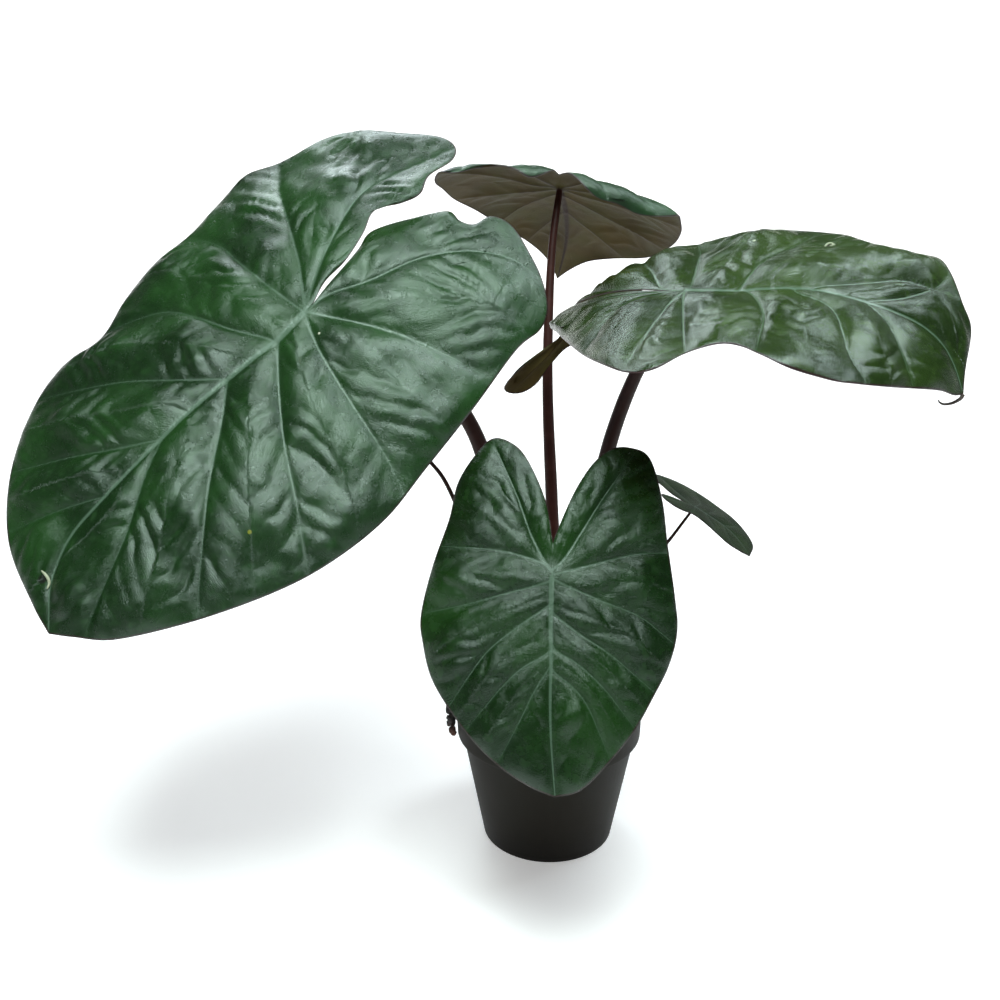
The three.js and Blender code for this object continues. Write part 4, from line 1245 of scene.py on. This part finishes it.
class ALOCASIA_OT_stalks(Operator):
    """The six leaf stalks: tapering, faintly ridged, a little narrower where they meet the blade and pressed flat under
    it.
    """

    bl_idname = "alocasia.stalks"
    bl_label = "Stalks"

    def execute(self, context):
        colours = context.scene.alocasia_colours
        for name, (path, (foot, top)) in STALKS.items():
            around, steps, ridge_depth, ridges = (40, 220, 0.012, 9) if foot > THICK_FOOT else (20, 120, 0.02, 5)
            line = along_line(smooth_line(path, 30), np.linspace(0, 1, steps))
            out = leaf_axes(LEAVES[name]["turn"])[2]
            share = np.linspace(0, 1, steps)
            radius = foot + (top - foot) * share
            radius = radius * (1 + 0.012 * swell(line, 35, 80)) * (1 - 0.10 * ease(share, 0.97, 1))
            angle = np.arange(around) / around * 2 * math.pi
            squash = 1 - ridge_depth * (1 + np.sin(ridges * angle))
            vertices, faces, flat = closed_tube(line, radius, around, squash)
            from_top = vertices - line[-1]
            near_top = ease(np.linalg.norm(from_top, axis=1), 22, 12)
            over = np.maximum(from_top @ out + 1.3, 0) * near_top
            vertices = vertices - over[:, None] * out
            material = stalk_material(f"stalk_skin_{name}", colours, *STALK_LOOKS[name])
            piece = make_piece(f"stalk_{name}", vertices * MM, faces, [material], flat=flat * MM * 10)
            tidy_normals(piece)
            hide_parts(f"petiole_{name}")
        return {"FINISHED"}


# Each blade's upper face: tint, roughness, shine and strength of the fine crinkle
BLADE_LOOKS = {
    "a": ((0.80, 0.80, 0.70), 0.235, 0.52, 0.45), "b": ((1.2, 1.0, 1.4), 0.30, 0.50, 0.5),
    "c": ((1.9, 0.88, 0.75), 0.165, 0.50, 0.05), "d": ((0.62, 0.64, 0.42), 0.225, 0.42, 0.45),
    "e": ((1.8, 1.05, 0.6), 0.50, 0.20, 0.2), "f": ((1.2, 1.0, 1.2), 0.36, 0.40, 0.3)}
# Spots on a blade: flat place and radius in millimetres, and colour
BLADE_MARKS = {
    "a": [((-77, 142), 1.6, (0.16, 0.17, 0.01)), ((-20, 7), 1.0, (0.5, 0.5, 0.4)),
          ((18, 243), 3.5, (0.006, 0.008, 0.004))],
    "c": [((-70, 82), 4.6, (0.012, 0.008, 0.005)), ((-79, 28), 1.4, (0.22, 0.24, 0.16))],
}


class ALOCASIA_OT_blades(Operator):
    """The six quilted blades, each with an upper face, an underside and a margin."""

    bl_idname = "alocasia.blades"
    bl_label = "Blades"

    def execute(self, context):
        sizes = context.scene.alocasia_sizes
        colours = context.scene.alocasia_colours
        rim = rim_material(colours)
        for name, leaf in LEAVES.items():
            vertices, faces, kinds, flat, values = blade_mesh(leaf, sizes)
            materials = [
                upper_face_material(f"leaf_upper_{name}", colours, BLADE_LOOKS[name], BLADE_MARKS.get(name, ())),
                under_face_material(f"leaf_under_{name}", colours),
                rim]
            piece = make_piece(f"leaf_{name}", vertices, faces, materials, kinds, flat, values)
            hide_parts(f"blade_{name}")
        return {"FINISHED"}


def on_blade(leaf, side, flat, to_margin, sizes, above):
    """Places flat points this far above a blade's upper face. All are in millimetres."""
    flat = np.asarray(flat, float)
    height = blade_relief(flat, np.full(len(flat), to_margin), leaf, sizes)[0]
    return placed(np.concatenate([flat, (height + above)[:, None]], -1), leaf, side) / MM


def mottled(name, scale, first, second):
    """Dry tissue, mottled in two colours."""
    s = Shader(name)
    s.set(Base_Color=s.mix(s.noise(s.place(), scale, 3), first, second), Roughness=0.6)
    return s.material


class ALOCASIA_OT_marks(Operator):
    """Small damage: a torn pale edge on the large blade, the lip of an insect hole and the dry thread at the
    tip of the right blade."""

    bl_idname = "alocasia.marks"
    bl_label = "Marks"

    def execute(self, context):
        sizes = context.scene.alocasia_sizes
        pale = mottled("torn_edge", 700, (0.20, 0.24, 0.14), (0.42, 0.44, 0.32))
        dry = mottled("dry_thread", 500, (0.012, 0.007, 0.005), (0.05, 0.03, 0.02))
        left, right = LEAVES["a"], LEAVES["c"]
        tear = smooth_line([(22, 239), (17, 239.5), (13, 242), (11, 246)], 12)
        lip_angle = np.linspace(0.3, 5.6, 60)
        lip = np.stack([-70 + 4.6 * np.cos(lip_angle), 82 + 3.2 * np.sin(lip_angle)], -1)
        tip = on_blade(right, "left", [(19, 204)], 0.0, sizes, -0.3)
        thread = smooth_line(tip + [
            (0, 0, 0), (-2, -1, -2.6), (-7, -2, -5.0), (-12, -2, -5.8), (-15, -2, -4.6), (-16, -2, -3.0)], 12)
        for name, line, thick, thin, one_way, material in (
                ("torn_edge_a", on_blade(left, "right", tear, 14.0, sizes, 0.5), 1.0, 0.35, False, pale),
                ("hole_lip_c", on_blade(right, "left", lip, 28.0, sizes, 0.3), 0.75, 0.45, False, pale),
                ("dry_thread_c", thread, 1.3, 0.4, True, dry)):
            share = np.linspace(-1, 1, len(line))
            radius = thin + (thick - thin) * ((1 - share) / 2 if one_way else 1 - share ** 2)
            vertices, faces, flat = closed_tube(line, radius, 12)
            piece = make_piece(name, vertices * MM, faces, [material], flat=flat)
            tidy_normals(piece)
        return {"FINISHED"}


class ALOCASIA_OT_stage(Operator):
    """Pale floor and backdrop in one sweep, soft lights, and the camera."""

    bl_idname = "alocasia.stage"
    bl_label = "Stage"

    def execute(self, context):
        build_sweep()
        build_lights()
        build_camera()
        return {"FINISHED"}


def build_sweep():
    """A floor that curves up into a wall: a straight run, a quarter circle and a straight run, drawn out
    sideways."""
    turn_at, bend_radius, wall_top, half_width = 2.9, 0.7, 1.15, 3.5
    a = np.linspace(0, math.pi / 2, 24)
    y = np.concatenate([[-4.0], turn_at + bend_radius * np.sin(a), [turn_at + bend_radius]])
    z = np.concatenate([[0.0], bend_radius * (1 - np.cos(a)), [wall_top]])
    x = np.array([-half_width, half_width])
    points = np.stack(np.broadcast_arrays(x[None], y[:, None], z[:, None]), -1).reshape(-1, 3)
    ids = np.arange(len(points)).reshape(len(y), 2)
    mesh = bpy.data.meshes.new("sweep")
    mesh.from_pydata(points.tolist(), [], grid_faces(ids)[:, ::-1].tolist())
    mesh.polygons.foreach_set("use_smooth", np.ones(len(mesh.polygons), bool))
    sweep = bpy.data.objects.new("sweep", mesh)
    s = Shader("sweep_paper")
    tone = s.noise(s.place(), 3, 3)
    s.set(Base_Color=s.mix(s.math("MULTIPLY", tone, 0.15), (0.92, 0.92, 0.92), (0.89, 0.89, 0.885)), Roughness=0.9,
          Emission_Color=(1.0, 1.0, 1.0), Emission_Strength=0.38)
    mesh.materials.append(s.material)
    bpy.context.scene.collection.objects.link(sweep)


def add_area(name, place, target, width, depth, power, colour):
    """A soft rectangular light that faces its target."""
    data = bpy.data.lights.new(name, "AREA")
    data.shape = "RECTANGLE"
    data.size = width
    data.size_y = depth
    data.energy = power
    data.color = colour
    lamp = bpy.data.objects.new(name, data)
    lamp.location = place
    lamp.rotation_euler = (Vector(target) - Vector(place)).to_track_quat("-Z", "Y").to_euler()
    bpy.context.scene.collection.objects.link(lamp)


def build_lights():
    """A large window overhead, two smaller ones behind, and a lamp on the backdrop alone. The surroundings are
    pale near the horizon and dim overhead."""
    add_area("overhead", (-0.10, -0.66, 1.80), (-0.15, -0.08, 0.43), 0.85, 0.85, 42, (0.90, 1.0, 0.97))
    add_area("behind_right", (0.80, 0.24, 1.68), (0.20, -0.10, 0.46), 0.55, 0.5, 13, (0.86, 0.96, 1.0))
    add_area("behind_left", (-0.33, 1.05, 1.34), (0.04, -0.07, 0.44), 0.55, 0.4, 7, (0.86, 0.96, 1.0))
    add_area("backdrop", (0.0, 1.9, 2.2), (0.0, 3.6, 0.5), 5.0, 0.8, 90, (1.0, 1.0, 1.0))
    world = bpy.data.worlds.new("studio")
    world.use_nodes = True
    tree = world.node_tree
    background = tree.nodes["Background"]
    background.inputs["Color"].default_value = (0.95, 0.98, 1.0, 1)
    direction = tree.nodes.new("ShaderNodeTexCoord").outputs["Generated"]
    split = tree.nodes.new("ShaderNodeSeparateXYZ")
    tree.links.new(direction, split.inputs[0])
    fall = tree.nodes.new("ShaderNodeMapRange")
    fall.interpolation_type = "SMOOTHSTEP"
    tree.links.new(split.outputs["Z"], fall.inputs["Value"])
    for key, number in (("From Min", 0.06), ("From Max", 0.20), ("To Min", 0.40), ("To Max", 0.10)):
        fall.inputs[key].default_value = number
    tree.links.new(fall.outputs["Result"], background.inputs["Strength"])
    bpy.context.scene.world = world


# The camera's place in metres, its tilt in degrees, its focal length as a share of the picture's width, and
# the width of its sensor in millimetres
CAMERA_PLACE = (-0.040, -0.841, 0.568)
CAMERA_DROP = 18.3
FOCAL_SHARE = 1.15
SENSOR = 36.0


def build_camera():
    """A camera with the photograph's place, downward tilt and focal length."""
    data = bpy.data.cameras.new("camera")
    data.sensor_width = SENSOR
    data.lens = FOCAL_SHARE * SENSOR
    camera = bpy.data.objects.new("camera", data)
    camera.location = CAMERA_PLACE
    camera.rotation_euler = (math.radians(90 - CAMERA_DROP), 0, 0)
    scene = bpy.context.scene
    scene.collection.objects.link(camera)
    scene.camera = camera
    scene.view_settings.view_transform = "Standard"


class ALOCASIA_PT_panel(Panel):
    """Sidebar list of the plant's pieces, sizes and colours."""

    bl_label = "Potted Alocasia"
    bl_idname = "ALOCASIA_PT_panel"
    bl_space_type = "VIEW_3D"
    bl_region_type = "UI"
    bl_category = "Alocasia"

    def draw(self, context):
        for step in STEPS:
            self.layout.operator(step.bl_idname)
        for group in SETTINGS:
            settings = getattr(context.scene, group)
            box = self.layout.box()
            for key in settings.__annotations__:
                box.prop(settings, key)


STEPS = (ALOCASIA_OT_pot, ALOCASIA_OT_mix, ALOCASIA_OT_rim_clump, ALOCASIA_OT_crown, ALOCASIA_OT_stalks,
         ALOCASIA_OT_blades, ALOCASIA_OT_marks, ALOCASIA_OT_stage)
SETTINGS = {"alocasia_sizes": PlantSizes, "alocasia_pot": PotSizes, "alocasia_colours": PlantColours}
CLASSES = (*SETTINGS.values(), *STEPS, ALOCASIA_PT_panel)


def register():
    """Makes the classes known, and gives each scene its settings."""
    for cls in CLASSES:
        bpy.utils.register_class(cls)
    for name, group in SETTINGS.items():
        setattr(bpy.types.Scene, name, PointerProperty(type=group))


def unregister():
    """Takes back what register did."""
    for name in reversed(SETTINGS):
        delattr(bpy.types.Scene, name)
    for cls in reversed(CLASSES):
        bpy.utils.unregister_class(cls)


def main():
    """Builds every piece in order."""
    register()
    bpy.ops.alocasia.pot()
    bpy.ops.alocasia.mix()
    bpy.ops.alocasia.rim_clump()
    bpy.ops.alocasia.crown()
    bpy.ops.alocasia.stalks()
    bpy.ops.alocasia.blades()
    bpy.ops.alocasia.marks()
    bpy.ops.alocasia.stage()


if __name__ == "__main__":
    main()
